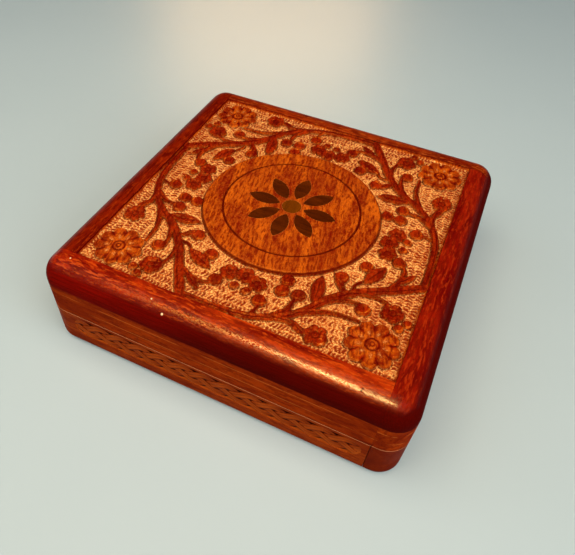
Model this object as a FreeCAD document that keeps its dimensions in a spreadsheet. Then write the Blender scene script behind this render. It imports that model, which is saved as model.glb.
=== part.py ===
import FreeCAD, Part
import math
import os
import re
import Sketcher

# Carved wooden puzzle box, in millimetres.
# X runs along the front from left to right, the front face looks towards -Y, Z is up.
# The origin is the centre of the underside.

doc = FreeCAD.newDocument("carved_puzzle_box")
sheet = doc.addObject("Spreadsheet::Sheet", "Sizes")

SIZES = [
    # the whole box
    ("box_width", 152.0),
    ("box_depth", 152.0),
    ("base_height", 20.4),
    ("lid_height", 23.7),
    ("seam_gap", 0.2),
    ("edge_round", 9.5),
    ("foot_round", 3.6),
    ("wall_front", 12.2),
    ("wall_right", 11.8),
    ("wall_back", 12.2),
    ("wall_left", 12.2),
    # carved top panel, held by a tongue all round
    ("panel_thick", 7.0),
    ("panel_gap", 0.15),
    ("tongue_thick", 3.0),
    ("tongue_reach", 3.0),
    ("tongue_fit", 0.15),
    ("carve_depth", 1.5),
    ("medallion_radius", 38.5),
    ("ring_radius", 29.5),
    ("ring_width", 0.6),
    ("ring_depth", 0.4),
    # vine and flowers left standing on the panel's ground
    ("relief_height", 1.2),
    ("vine_start_width", 2.6),
    ("vine_end_width", 4.0),
    ("branch_start_width", 2.8),
    ("branch_end_width", 1.5),
    ("leaf_width", 5.4),
    ("daisy_radius", 10.2),
    ("daisy_notch", 1.9),
    ("rosette_radius", 4.6),
    ("blossom_radius", 4.0),
    ("blossom_notch", 0.9),
    ("bud_radius", 2.9),
    # inlaid flower in the medallion
    ("petal_start", 5.4),
    ("petal_tip", 20.0),
    ("petal_width", 6.6),
    ("centre_radius", 4.2),
    ("inlay_depth", 1.6),
    ("inlay_gap", 0.05),
    # bottom board, let into the walls from below
    ("floor_thick", 4.0),
    ("floor_lap", 2.5),
    ("floor_fit", 0.15),
    ("nail_radius", 0.5),
    ("nail_length", 11.0),
    ("nail_head_radius", 1.0),
    ("nail_head_thick", 0.4),
    ("nail_spread", 44.0),
    # sliding front and the rail that it runs on
    ("slider_thick", 6.2),
    ("slider_gap", 0.3),
    ("slider_lift", 0.3),
    ("slider_end_gap", 0.15),
    ("slider_travel", 28.0),
    ("rail_level", 8.0),
    ("rail_depth", 2.4),
    ("rail_neck", 6.0),
    ("rail_head", 8.4),
    ("rail_root", 1.2),
    ("rail_clear", 0.25),
    ("rail_inset", 4.0),
    ("rail_end_gap", 6.0),
    ("stop_place", -10.0),
    ("stop_level", 16.4),
    ("stop_radius", 1.25),
    ("stop_reach", 2.2),
    ("stop_clear", 0.3),
    # hidden bolt, its guide plate and the lid's catch
    ("catch_room", 1.3),
    ("bolt_level", 11.2),
    ("bolt_travel", 7.0),
    ("bolt_lead", 9.5),
    ("bolt_tail", 6.5),
    ("bolt_height", 5.0),
    ("bolt_thick", 3.0),
    ("bolt_clear", 0.2),
    ("stem_radius", 1.4),
    ("stem_clear", 0.15),
    ("knob_radius", 3.0),
    ("knob_thick", 1.0),
    ("plate_length", 24.0),
    ("plate_height", 10.4),
    ("plate_thick", 0.8),
    ("plate_sink", 2.2),
    ("plate_fit", 0.2),
    ("plate_hole_inset", 2.4),
    ("plate_screw_length", 2.2),
    ("plate_screw_radius", 0.6),
    ("plate_screw_head", 1.2),
    ("catch_thick", 1.5),
    ("catch_clear", 2.0),
    ("catch_spine", 3.5),
    ("catch_barb", 2.2),
    ("catch_plate_width", 19.0),
    ("catch_plate_height", 10.0),
    ("catch_hole_inset", 3.2),
    ("notch_clear", 0.4),
    ("pocket_clear", 0.7),
    ("lock_depth", 8.5),
    ("lock_side", 3.0),
    ("lock_top_gap", 0.5),
    # butt hinges let into the back edge
    ("hinge_offset", 34.0),
    ("hinge_length", 24.0),
    ("knuckle_length", 8.0),
    ("knuckle_end_gap", 0.15),
    ("knuckle_radius", 2.0),
    ("knuckle_inset", 2.3),
    ("knuckle_clear", 0.3),
    ("leaf_depth", 8.5),
    ("leaf_thick", 1.0),
    ("leaf_fit", 0.1),
    ("pin_radius", 0.9),
    ("pin_play", 0.05),
    ("vee_angle", 48.0),
    ("screw_radius", 0.9),
    ("screw_head", 1.9),
    ("screw_length", 7.0),
    ("screw_spread", 8.0),
    ("hole_play", 0.05),
]
ALIASES = {alias for alias, _ in SIZES}
PETALS = 8
DAISY_PETALS = 9
FULL_PETALS = 6
SPARSE_PETALS = 5
SIDES = 4
OVERCUT = "1"
NEAR = 0.01

# Named places, as expressions of the sizes
LEFT, RIGHT = "(-box_width / 2)", "(box_width / 2)"
FRONT, BACK = "(-box_depth / 2)", "(box_depth / 2)"
IN_LEFT, IN_RIGHT = f"({LEFT} + wall_left)", f"({RIGHT} - wall_right)"
IN_FRONT, IN_BACK = f"({FRONT} + wall_front)", f"({BACK} - wall_back)"
LID_FOOT = "(base_height + seam_gap)"
TOP = f"({LID_FOOT} + lid_height)"
PANEL_UNDER = f"({TOP} - panel_thick)"
PANEL_SPAN = (f"({IN_LEFT} + panel_gap)", f"({IN_RIGHT} - panel_gap)")
PANEL_REACH = (f"({IN_FRONT} + panel_gap)", f"({IN_BACK} - panel_gap)")
SLIDER_BACK = f"({FRONT} + slider_thick)"
LINER_FRONT = f"({SLIDER_BACK} + slider_gap)"
LINER_BACK = f"({IN_FRONT} - catch_room)"
PLATE_FACE = f"({LINER_FRONT} + plate_sink - plate_thick)"
PLATE_BACK = f"({LINER_FRONT} + plate_sink)"
WINDOW_LEFT = f"({IN_RIGHT} - slider_travel)"
PLATE_MIDDLE = f"({IN_RIGHT} - slider_travel / 2)"
KNOB_PLACE = f"({PLATE_MIDDLE} + bolt_travel / 2)"
BOLT_NOSE = f"({KNOB_PLACE} - bolt_lead)"
BOLT_END = f"({KNOB_PLACE} + bolt_tail)"
BOLT_FRONT = f"({LINER_BACK} + bolt_clear)"
CATCH_RIGHT = f"({BOLT_NOSE} - catch_clear)"
NOTCH_LEFT = f"({BOLT_NOSE} - bolt_travel - notch_clear)"
CATCH_LEFT = f"({NOTCH_LEFT} - catch_spine)"
CATCH_MIDDLE = f"(({CATCH_LEFT} + {CATCH_RIGHT}) / 2)"
NOTCH_LOW = "(bolt_level - bolt_height / 2 - notch_clear)"
NOTCH_HIGH = "(bolt_level + bolt_height / 2 + notch_clear)"
PIVOT_Y = f"({BACK} - knuckle_inset)"
PIVOT_Z = "(base_height + seam_gap / 2)"

# The carver's drawing of the panel's front side, on a grid whose edge is 100 from the panel's middle.
# Turned, it serves the other three sides.
GRID_EDGE = 100
VINE = [(-31, -97), (-10, -97), (11, -95), (28, -88), (40, -77), (50, -62), (65, -49), (82, -39), (98, -29)]
BRANCHES = [
    [(-80, -37), (-75, -46), (-71, -56), (-70, -70)],
    [(-68, -46), (-62, -53), (-59, -60), (-58, -67)],
    [(-54, -58), (-50, -66), (-49, -75), (-51, -83)],
    [(-40, -79), (-31, -83), (-22, -84), (-16, -81)],
    [(25, -89), (31, -80), (32, -70)],
    [(26, -89), (35, -88), (47, -90)],
]
LEAVES = [((-42, -64), (-23, -73)), ((43, -70), (40, -47))]
FLOWERS = [
    ((-82, -82), "daisy_radius", "daisy_notch", DAISY_PETALS),
    ((-56, -86), "rosette_radius", "blossom_notch", SPARSE_PETALS),
    ((52, -90), "rosette_radius", "blossom_notch", FULL_PETALS),
    ((-11, -70), "blossom_radius", "blossom_notch", FULL_PETALS),
    ((-1, -68), "blossom_radius", "blossom_notch", SPARSE_PETALS),
    ((8, -71), "blossom_radius", "blossom_notch", FULL_PETALS),
]
BUDS = [(23, -69), (23, -60), (33, -68), (-28, -62), (-16, -79), (-61, -70), (-43, -51), (14, -82)]

pieces = []


def expr(text):
    """The text as a sheet expression: each alias gets the sheet's name."""
    return re.sub(r"[a-z_]+", lambda word: f"Sizes.{word[0]}" if word[0] in ALIASES else word[0], text)


def value(text):
    """What an expression comes to with the sizes as they are."""
    return float(sheet.evalExpression(expr(text)))


def place(obj, x, y, z):
    for axis, text in zip("xyz", (x, y, z)):
        obj.setExpression(f"Placement.Base.{axis}", expr(text))


def piece(obj, label):
    """Name a finished sub-part."""
    obj.Label = label
    pieces.append(obj)
    return obj


def block(name, across, along, upward):
    """A box from three pairs of low and high places."""
    obj = doc.addObject("Part::Box", name)
    for size, (low, high) in zip(("Length", "Width", "Height"), (across, along, upward)):
        obj.setExpression(size, expr(f"{high} - ({low})"))
    place(obj, across[0], along[0], upward[0])
    return obj


FACING = {
    "+x": FreeCAD.Rotation(FreeCAD.Vector(0, 1, 0), 90),
    "+y": FreeCAD.Rotation(FreeCAD.Vector(1, 0, 0), -90),
    "-y": FreeCAD.Rotation(FreeCAD.Vector(1, 0, 0), 90),
    "+z": FreeCAD.Rotation(),
    "-z": FreeCAD.Rotation(FreeCAD.Vector(1, 0, 0), 180),
}


def rod(name, facing, start, radius, length):
    """A round bar that runs from start in the direction it faces."""
    obj = doc.addObject("Part::Cylinder", name)
    obj.setExpression("Radius", expr(radius))
    obj.setExpression("Height", expr(length))
    obj.Placement = FreeCAD.Placement(FreeCAD.Vector(), FACING[facing])
    place(obj, *start)
    return obj


def taper(name, facing, start, first_radius, last_radius, length):
    obj = doc.addObject("Part::Cone", name)
    obj.setExpression("Radius1", expr(first_radius))
    obj.setExpression("Radius2", expr(last_radius))
    obj.setExpression("Height", expr(length))
    obj.Placement = FreeCAD.Placement(FreeCAD.Vector(), FACING[facing])
    place(obj, *start)
    return obj


def fuse(name, shapes):
    obj = doc.addObject("Part::MultiFuse", name)
    obj.Shapes = shapes
    return obj


def group(name, shapes):
    obj = doc.addObject("Part::Compound", name)
    obj.Links = shapes
    return obj


def cut(name, base, tools):
    obj = doc.addObject("Part::Cut", name)
    obj.Base = base
    obj.Tool = tools[0] if len(tools) == 1 else fuse(f"{name}_tools", tools)
    return obj


def common(name, base, tool):
    obj = doc.addObject("Part::Common", name)
    obj.Base = base
    obj.Tool = tool
    return obj


def plane_of(body, role):
    return next(feature for feature in body.Origin.OriginFeatures if feature.Role == role)


def outline(body, name, role, corners):
    """A closed sketch of straight sides, each corner held by its two distances from the origin."""
    sketch = body.newObject("Sketcher::SketchObject", name)
    sketch.AttachmentSupport = [(plane_of(body, role), "")]
    sketch.MapMode = "FlatFace"
    spots = [FreeCAD.Vector(value(u), value(v), 0) for u, v in corners]
    count = len(corners)
    for number in range(count):
        sketch.addGeometry(Part.LineSegment(spots[number], spots[(number + 1) % count]))
    for number in range(count):
        sketch.addConstraint(Sketcher.Constraint("Coincident", number, 2, (number + 1) % count, 1))
    for number, (u, v) in enumerate(corners):
        for kind, text, axis in (("DistanceX", u, -2), ("DistanceY", v, -1)):
            if text == "0":
                sketch.addConstraint(Sketcher.Constraint("PointOnObject", number, 1, axis))
                continue
            index = sketch.addConstraint(Sketcher.Constraint(kind, -1, 1, number, 1, value(text)))
            sketch.setExpression(f"Constraints[{index}]", expr(text))
    return sketch


def bar_along_x(name, corners, start, length):
    """A bar along X: corners are its section, as places in Y and Z from start."""
    body = doc.addObject("PartDesign::Body", name)
    section = outline(body, f"{name}_section", "YZ_Plane", corners)
    pad = body.newObject("PartDesign::Pad", f"{name}_pad")
    pad.Profile = section
    pad.setExpression("Length", expr(length))
    place(body, *start)
    return body


def edges_where(shape, test):
    return [f"Edge{number}" for number, edge in enumerate(shape.Edges, start=1) if test(edge)]


def rounded_block():
    """The whole outside of the closed box, from which every wall is taken."""
    body = doc.addObject("PartDesign::Body", "outside")
    corners = [("0", "0"), ("box_width", "0"), ("box_width", "box_depth"), ("0", "box_depth")]
    plan = outline(body, "outside_plan", "XY_Plane", corners)
    pad = body.newObject("PartDesign::Pad", "outside_pad")
    pad.Profile = plan
    pad.setExpression("Length", expr(TOP))
    place(body, LEFT, FRONT, "0")
    doc.recompute()
    highest = pad.Shape.BoundBox.ZMax
    rounded = body.newObject("PartDesign::Fillet", "outside_round")
    rounded.Base = (pad, edges_where(pad.Shape, lambda edge: edge.BoundBox.ZMax > highest / 2))
    rounded.setExpression("Radius", expr("edge_round"))
    doc.recompute()
    foot = body.newObject("PartDesign::Fillet", "outside_foot")
    foot.Base = (rounded, edges_where(rounded.Shape, lambda edge: edge.BoundBox.ZMax < NEAR))
    foot.setExpression("Radius", expr("foot_round"))
    doc.recompute()
    return body


def wood_screw(name, facing, start, head, shank, length, sink, play="0"):
    """A countersunk screw from the face of its head, or with play, the hole for one."""
    cone = taper(f"{name}_head", facing, start, f"{head} + {play}", f"{shank} + {play}", sink)
    stem = rod(f"{name}_shank", facing, start, f"{shank} + {play}", f"{length} + {play}")
    return fuse(name, [cone, stem])


def fill_sheet():
    for row, (alias, number) in enumerate(SIZES, start=1):
        sheet.set(f"A{row}", alias)
        sheet.set(f"B{row}", str(number))
        sheet.setAlias(f"B{row}", alias)
    doc.recompute()


def petal(name, angle, play, low, high):
    """A pointed oval that lies along its angle: where two round discs overlap."""
    half_length = f"((petal_tip - petal_start) / 2 + {play})"
    half_width = f"(petal_width / 2 + {play})"
    disc_radius = f"(({half_length} ^ 2 + {half_width} ^ 2) / (2 * {half_width}))"
    shift = f"({disc_radius} - {half_width})"
    middle = "((petal_start + petal_tip) / 2)"
    discs = []
    for side in (-1, 1):
        x = f"{middle} * cos({angle}) - {side} * {shift} * sin({angle})"
        y = f"{middle} * sin({angle}) + {side} * {shift} * cos({angle})"
        discs.append(rod(f"{name}_disc{side + 1}", "+z", (x, y, low), disc_radius, f"{high} - {low}"))
    return common(name, *discs)


def make_inlays():
    """Eight dark petals and a round centre, flush with the medallion."""
    low = f"({TOP} - inlay_depth)"
    petals = [petal(f"petal{number}", number * 360 // PETALS, "0", low, TOP) for number in range(PETALS)]
    piece(group("petal_set", petals), "inlay_petals")
    disc = rod("centre_disc", "+z", ("0", "0", low), "centre_radius", "inlay_depth")
    piece(disc, "inlay_centre")


def panel_spot(point, turns):
    """A point of the drawing, turned to its side and stretched to the panel."""
    x, y = point
    for _ in range(turns):
        x, y = -y, x
    left, right, front, back = (value(edge) for edge in (IN_LEFT, IN_RIGHT, IN_FRONT, IN_BACK))
    return FreeCAD.Vector((left + right) / 2 + (right - left) / 2 * x / GRID_EDGE,
                          (front + back) / 2 + (back - front) / 2 * y / GRID_EDGE, 0)


def across(start, end, length):
    """A step of the given length to the left of the way from start to end."""
    way = (end - start).normalize()
    return FreeCAD.Vector(-way.y, way.x, 0) * length


def stem_outline(spots, start_width, end_width):
    """A tapering stem: a smooth curve down each side of its line and a straight cut across each end."""
    last = len(spots) - 1
    sides = ([], [])
    for number, spot in enumerate(spots):
        width = start_width + (end_width - start_width) * number / last
        step = across(spots[max(number - 1, 0)], spots[min(number + 1, last)], width / 2)
        sides[0].append(spot + step)
        sides[1].append(spot - step)
    edges = [Part.makeLine(sides[0][end], sides[1][end]) for end in (0, -1)]
    for side in sides:
        curve = Part.BSplineCurve()
        curve.interpolate(side)
        edges.append(curve.toShape())
    return Part.Wire(Part.sortEdges(edges)[0])


def leaf_outline(foot, tip, width):
    """A pointed leaf: two arcs that meet at its foot and its tip."""
    middle = (foot + tip) / 2
    step = across(foot, tip, width / 2)
    arcs = [Part.Arc(foot, middle + step, tip), Part.Arc(tip, middle - step, foot)]
    return Part.Wire([arc.toShape() for arc in arcs])


def flower_outline(centre, radius, notch, petals):
    """A flower: one arc for each petal, with a notch between each two."""
    def rim(share, reach):
        angle = 2 * math.pi * share / petals
        return centre + FreeCAD.Vector(math.cos(angle), math.sin(angle), 0) * reach

    return Part.Wire([Part.Arc(rim(number - 0.5, radius - notch), rim(number, radius),
                               rim(number + 0.5, radius - notch)).toShape() for number in range(petals)])


def relief_outlines(turns):
    """Every form that stands on one side of the panel's ground."""
    def spots(points):
        return [panel_spot(point, turns) for point in points]

    found = [stem_outline(spots(VINE), value("vine_start_width"), value("vine_end_width"))]
    found += [stem_outline(spots(line), value("branch_start_width"), value("branch_end_width"))
              for line in BRANCHES]
    found += [leaf_outline(*spots(ends), value("leaf_width")) for ends in LEAVES]
    found += [flower_outline(panel_spot(centre, turns), value(radius), value(notch), petals)
              for centre, radius, notch, petals in FLOWERS]
    found += [Part.Wire(Part.makeCircle(value("bud_radius"), spot)) for spot in spots(BUDS)]
    return found


def make_relief():
    """The carved vine and flowers, rooted in the board and trimmed to its edges."""
    rise = FreeCAD.Vector(0, 0, value(f"{OVERCUT} + relief_height"))
    forms = [Part.Face(wire).extrude(rise) for turns in range(SIDES) for wire in relief_outlines(turns)]
    relief = doc.addObject("Part::Feature", "relief_forms")
    relief.Shape = forms[0].multiFuse(forms[1:]).removeSplitter()
    relief.Placement.Base.z = value(f"{TOP} - carve_depth - {OVERCUT}")
    bounds = block("relief_bounds", PANEL_SPAN, PANEL_REACH, (PANEL_UNDER, TOP))
    return common("relief", relief, bounds)


def make_panel():
    """Carved top panel: sunk ground with its vine, medallion with a scribed ring, and the inlay pockets."""
    sides = (f"{IN_LEFT} - tongue_reach", f"{IN_RIGHT} + tongue_reach")
    ends = (f"{IN_FRONT} - tongue_reach", f"{IN_BACK} + tongue_reach")
    tongue = block("panel_tongue", sides, ends, (PANEL_UNDER, f"{PANEL_UNDER} + tongue_thick"))
    field = block("panel_field", PANEL_SPAN, PANEL_REACH, (PANEL_UNDER, f"{TOP} - carve_depth"))
    medallion = rod("panel_medallion", "+z", ("0", "0", PANEL_UNDER), "medallion_radius", "panel_thick")
    pocket_low, pocket_high = f"({TOP} - inlay_depth)", f"({TOP} + {OVERCUT})"
    pockets = [petal(f"petal_pocket{number}", number * 360 // PETALS, "inlay_gap", pocket_low, pocket_high)
               for number in range(PETALS)]
    pockets.append(rod("centre_pocket", "+z", ("0", "0", pocket_low), "centre_radius + inlay_gap",
                       f"inlay_depth + {OVERCUT}"))
    ring_low = ("0", "0", f"{TOP} - ring_depth")
    ring = cut("ring_groove", rod("ring_outer", "+z", ring_low, "ring_radius + ring_width / 2", OVERCUT),
               [rod("ring_inner", "+z", ring_low, "ring_radius - ring_width / 2", OVERCUT)])
    blank = fuse("panel_blank", [tongue, field, medallion, make_relief()])
    piece(cut("panel", blank, pockets + [ring]), "lid_panel")


def make_wall(label, outside, across, along, heights, cuts):
    """A length of wall taken from the rounded outside, then let in for what joins it."""
    length = block(f"{label}_length", across, along, heights)
    wall = common(f"{label}_wall", outside, length)
    piece(cut(f"{label}_cut", wall, cuts), label)


def hinge_places():
    """The middle of each hinge, measured in from its side of the box."""
    return (("left", f"({LEFT} + hinge_offset)"), ("right", f"({RIGHT} - hinge_offset)"))


def hinge_cuts(prefix, leaf_low, leaf_high):
    """Room in a back wall for the leaves and the knuckles of both hinges."""
    tools = []
    for side, middle in hinge_places():
        low, high = f"{middle} - hinge_length / 2", f"{middle} + hinge_length / 2"
        tools.append(block(f"{prefix}_{side}_seat", (f"{low} - leaf_fit", f"{high} + leaf_fit"),
                           (f"{PIVOT_Y} - leaf_depth - leaf_fit", PIVOT_Y), (leaf_low, leaf_high)))
        tools.append(rod(f"{prefix}_{side}_hollow", "+x", (f"{low} - knuckle_clear", PIVOT_Y, PIVOT_Z),
                         "knuckle_radius + knuckle_clear", "hinge_length + 2 * knuckle_clear"))
    return tools


def hinge_screws(prefix, facing, face, play="0"):
    screws = []
    row = f"{PIVOT_Y} - leaf_depth / 2 - knuckle_radius / 2"
    for side, middle in hinge_places():
        for end, sign in (("a", "-"), ("b", "+")):
            start = (f"{middle} {sign} screw_spread", row, face)
            screws.append(wood_screw(f"{prefix}_{side}_{end}", facing, start, "screw_head", "screw_radius",
                                     "screw_length", "leaf_thick", play))
    return screws


def knuckle(name, low, length, radius):
    return rod(name, "+x", (low, PIVOT_Y, PIVOT_Z), radius, length)


def make_hinges():
    """Two butt hinges: the base leaf has the outer knuckles, the lid leaf the middle one."""
    base_holes = hinge_screws("base_hole", "-z", "base_height", "hole_play")
    lid_holes = hinge_screws("lid_hole", "+z", LID_FOOT, "hole_play")
    for side, middle in hinge_places():
        low, high = f"({middle} - hinge_length / 2)", f"({middle} + hinge_length / 2)"
        span = (low, high)
        depth = (f"{PIVOT_Y} - leaf_depth", PIVOT_Y)
        mid_low = f"({middle} - knuckle_length / 2)"
        end_length = "((hinge_length - knuckle_length) / 2 - knuckle_end_gap)"
        wide = "knuckle_radius + knuckle_end_gap"
        through = (f"{low} - {OVERCUT}", f"hinge_length + 2 * {OVERCUT}")
        base_bore = knuckle(f"{side}_base_bore", *through, "pin_radius")
        base_plate = block(f"{side}_base_plate", span, depth, ("base_height - leaf_thick", "base_height"))
        base_room = knuckle(f"{side}_base_room", f"{mid_low} - knuckle_end_gap",
                            "knuckle_length + 2 * knuckle_end_gap", wide)
        base_ends = [knuckle(f"{side}_base_near", low, end_length, "knuckle_radius"),
                     knuckle(f"{side}_base_far", f"{high} - {end_length}", end_length, "knuckle_radius")]
        base_flat = cut(f"{side}_base_flat", base_plate, [base_room])
        base_leaf = fuse(f"{side}_base_blank", [base_flat] + base_ends)
        piece(cut(f"{side}_base_leaf", base_leaf, [base_bore] + base_holes), f"hinge_{side}_base_leaf")

        lid_plate = block(f"{side}_lid_plate", span, depth, (LID_FOOT, f"{LID_FOOT} + leaf_thick"))
        lid_rooms = [knuckle(f"{side}_lid_near", f"{low} - {OVERCUT}",
                             f"{end_length} + knuckle_end_gap + {OVERCUT}", wide),
                     knuckle(f"{side}_lid_far", f"{high} - {end_length} - knuckle_end_gap",
                             f"{end_length} + knuckle_end_gap + {OVERCUT}", wide)]
        lid_middle = knuckle(f"{side}_lid_middle", mid_low, "knuckle_length", "knuckle_radius")
        lid_bore = knuckle(f"{side}_lid_bore", *through, "pin_radius + pin_play")
        lid_leaf = fuse(f"{side}_lid_blank", [cut(f"{side}_lid_flat", lid_plate, lid_rooms), lid_middle])
        piece(cut(f"{side}_lid_leaf", lid_leaf, [lid_bore] + lid_holes), f"hinge_{side}_lid_leaf")
        piece(knuckle(f"{side}_pin", low, "hinge_length", "pin_radius"), f"hinge_{side}_pin")
    piece(group("base_screw_set", hinge_screws("base_screw", "-z", "base_height")), "base_hinge_screws")
    piece(group("lid_screw_set", hinge_screws("lid_screw", "+z", LID_FOOT)), "lid_hinge_screws")
    return base_holes, lid_holes


def catch_screws(name, play="0"):
    level = f"({LID_FOOT} + catch_plate_height / 2 + lock_top_gap)"
    face = f"({IN_FRONT} + catch_thick)"
    return [wood_screw(f"{name}_{end}", "-y",
                       (f"{CATCH_MIDDLE} {sign} (catch_plate_width / 2 - catch_hole_inset)", face, level),
                       "screw_head", "screw_radius", "screw_length", "catch_thick", play)
            for end, sign in (("a", "-"), ("b", "+"))]


def make_catch():
    """Brass plate inside the lid's front: its tail hangs into the base and is notched for the bolt."""
    depth = (IN_FRONT, f"{IN_FRONT} + catch_thick")
    plate_low = f"({LID_FOOT} + lock_top_gap)"
    plate = block("catch_plate", (f"{CATCH_MIDDLE} - catch_plate_width / 2",
                                  f"{CATCH_MIDDLE} + catch_plate_width / 2"), depth,
                  (plate_low, f"{plate_low} + catch_plate_height"))
    tail = block("catch_tail", (CATCH_LEFT, CATCH_RIGHT), depth,
                 (f"{NOTCH_LOW} - catch_barb", f"{plate_low} + catch_plate_height / 2"))
    notch = block("catch_notch", (NOTCH_LEFT, f"{CATCH_RIGHT} + {OVERCUT}"),
                  (f"{IN_FRONT} - {OVERCUT}", f"{IN_FRONT} + catch_thick + {OVERCUT}"),
                  (NOTCH_LOW, NOTCH_HIGH))
    holes = catch_screws("catch_hole", "hole_play")
    piece(cut("catch", fuse("catch_blank", [plate, tail]), [notch] + holes), "lid_catch")
    piece(group("catch_screw_set", catch_screws("catch_screw")), "lid_catch_screws")
    return holes


def stem_slot(name, low, high):
    """Slot that the knob's stem runs along."""
    wide = "(stem_radius + stem_clear)"
    ends = [rod(f"{name}_{end}", "+y", (spot, low, "bolt_level"), wide, f"{high} - {low}")
            for end, spot in (("home", KNOB_PLACE), ("away", f"{KNOB_PLACE} - bolt_travel"))]
    middle = block(f"{name}_middle", (f"{KNOB_PLACE} - bolt_travel", KNOB_PLACE), (low, high),
                   (f"bolt_level - {wide}", f"bolt_level + {wide}"))
    return fuse(name, ends + [middle])


def plate_screws(name, play="0"):
    reach = "(plate_length / 2 - plate_hole_inset)"
    return [wood_screw(f"{name}_{end}", "+y", (f"{PLATE_MIDDLE} {sign} {reach}", PLATE_FACE, "bolt_level"),
                       "plate_screw_head", "plate_screw_radius", "plate_screw_length", "plate_thick", play)
            for end, sign in (("a", "-"), ("b", "+"))]


def make_bolt():
    """Brass bolt with its knob, the plate that guides the knob, and the block that holds the bolt."""
    heights = ("bolt_level - bolt_height / 2", "bolt_level + bolt_height / 2")
    bar = block("bolt_bar", (BOLT_NOSE, BOLT_END), (BOLT_FRONT, f"{BOLT_FRONT} + bolt_thick"), heights)
    piece(bar, "lock_bolt")
    head_back = f"({PLATE_FACE} - stem_clear)"
    head = rod("knob_head", "-y", (KNOB_PLACE, head_back, "bolt_level"), "knob_radius", "knob_thick")
    stem = rod("knob_stem", "-y", (KNOB_PLACE, BOLT_FRONT, "bolt_level"), "stem_radius",
               f"{BOLT_FRONT} - {head_back}")
    piece(fuse("knob", [head, stem]), "bolt_knob")

    plate_span = (f"{PLATE_MIDDLE} - plate_length / 2", f"{PLATE_MIDDLE} + plate_length / 2")
    plate = block("guide_plate", plate_span, (PLATE_FACE, PLATE_BACK),
                  ("bolt_level - plate_height / 2", "bolt_level + plate_height / 2"))
    holes = plate_screws("plate_hole", "hole_play")
    slot = stem_slot("plate_slot", f"({PLATE_FACE} - {OVERCUT})", f"({PLATE_BACK} + {OVERCUT})")
    piece(cut("plate", plate, [slot] + holes), "bolt_plate")
    piece(group("plate_screw_set", plate_screws("plate_screw")), "bolt_plate_screws")

    lock_back = f"{LINER_BACK} + lock_depth"
    solid = block("lock_solid", (f"{CATCH_LEFT} - lock_side", IN_RIGHT), (LINER_BACK, lock_back),
                  ("floor_thick", "base_height - lock_top_gap"))
    bolt_run = (f"{BOLT_NOSE} - bolt_travel - notch_clear", f"{BOLT_END} + notch_clear")
    channel = block("lock_channel", bolt_run,
                    (f"{LINER_BACK} - {OVERCUT}", f"{BOLT_FRONT} + bolt_thick + bolt_clear"),
                    (f"{heights[0]} - bolt_clear", f"{heights[1]} + bolt_clear"))
    pocket = block("lock_pocket", (f"{CATCH_LEFT} - pocket_clear", f"{CATCH_RIGHT} + pocket_clear"),
                   (f"{LINER_BACK} - {OVERCUT}", f"{IN_FRONT} + catch_thick + pocket_clear"),
                   (f"floor_thick - {OVERCUT}", f"base_height + {OVERCUT}"))
    piece(cut("lock", solid, [channel, pocket]), "lock_block")
    return holes


def dovetail(clear, depth, root):
    """Section of the rail in Y and Z: wide where it is deepest in the slider, narrow at the liner."""
    half_head, half_neck = f"(rail_head / 2 + {clear})", f"(rail_neck / 2 + {clear})"
    low, high = f"{half_head} - {half_neck}", f"{half_head} + {half_neck}"
    far = f"{depth} + {root}"
    return [("0", "0"), (depth, low), (far, low), (far, high), (depth, high), ("0", f"2 * {half_head}")]


def make_rail():
    """Dovetail rail that is let into the liner."""
    start = (f"{IN_LEFT} + rail_inset", f"{SLIDER_BACK} - rail_depth", "rail_level - rail_head / 2")
    length = f"{WINDOW_LEFT} - rail_end_gap - ({IN_LEFT} + rail_inset)"
    rail = bar_along_x("rail", dovetail("0", "rail_depth", "slider_gap + rail_root"), start, length)
    piece(rail, "slide_rail")
    return block("rail_seat", (f"{IN_LEFT} + rail_inset", f"{WINDOW_LEFT} - rail_end_gap"),
                 (f"{LINER_FRONT} - {OVERCUT}", f"{LINER_FRONT} + rail_root"),
                 ("rail_level - rail_neck / 2", "rail_level + rail_neck / 2"))


def make_slider(outside):
    """Front of the base, which slides to the left on the rail as far as the stop pin lets it."""
    body = block("slider_length", (LEFT, f"{IN_RIGHT} - slider_end_gap"), (FRONT, SLIDER_BACK),
                 ("slider_lift", "base_height - slider_lift"))
    groove_start = (f"{IN_LEFT} + rail_inset - rail_clear", f"{SLIDER_BACK} - rail_depth - rail_clear",
                    "rail_level - rail_head / 2 - rail_clear")
    section = dovetail("rail_clear", "rail_depth + rail_clear", OVERCUT)
    groove = bar_along_x("slider_groove", section, groove_start,
                         f"{IN_RIGHT} + {OVERCUT} - ({IN_LEFT} + rail_inset - rail_clear)")
    depth = (f"({SLIDER_BACK} - stop_reach - stop_clear)", f"({SLIDER_BACK} + {OVERCUT})")
    wide = "(stop_radius + stop_clear)"
    ends = [rod(f"stop_slot_{end}", "+y", (spot, depth[0], "stop_level"), wide, f"{depth[1]} - {depth[0]}")
            for end, spot in (("home", "stop_place"), ("away", "stop_place + slider_travel"))]
    middle = block("stop_slot_middle", ("stop_place", "stop_place + slider_travel"), depth,
                   (f"stop_level - {wide}", f"stop_level + {wide}"))
    wall = common("slider_wall", outside, body)
    piece(cut("slider", wall, [groove, middle] + ends), "front_slider")


def nails(name):
    """Round nails that hold the bottom board up into the four walls."""
    mid_lap = "floor_lap / 2"
    spots = [(f"{sign}nail_spread", y) for y in (f"{LINER_BACK} - {mid_lap}", f"{IN_BACK} + {mid_lap}")
             for sign in ("-", "")]
    spots += [(x, f"{sign}nail_spread") for x in (f"{IN_LEFT} - {mid_lap}", f"{IN_RIGHT} + {mid_lap}")
              for sign in ("-", "")]
    found = []
    for number, (x, y) in enumerate(spots):
        head = rod(f"{name}{number}_head", "+z", (x, y, "0"), "nail_head_radius", "nail_head_thick")
        shank = rod(f"{name}{number}_shank", "+z", (x, y, "0"), "nail_radius", "nail_length")
        found.append(fuse(f"{name}{number}", [head, shank]))
    return found


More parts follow.
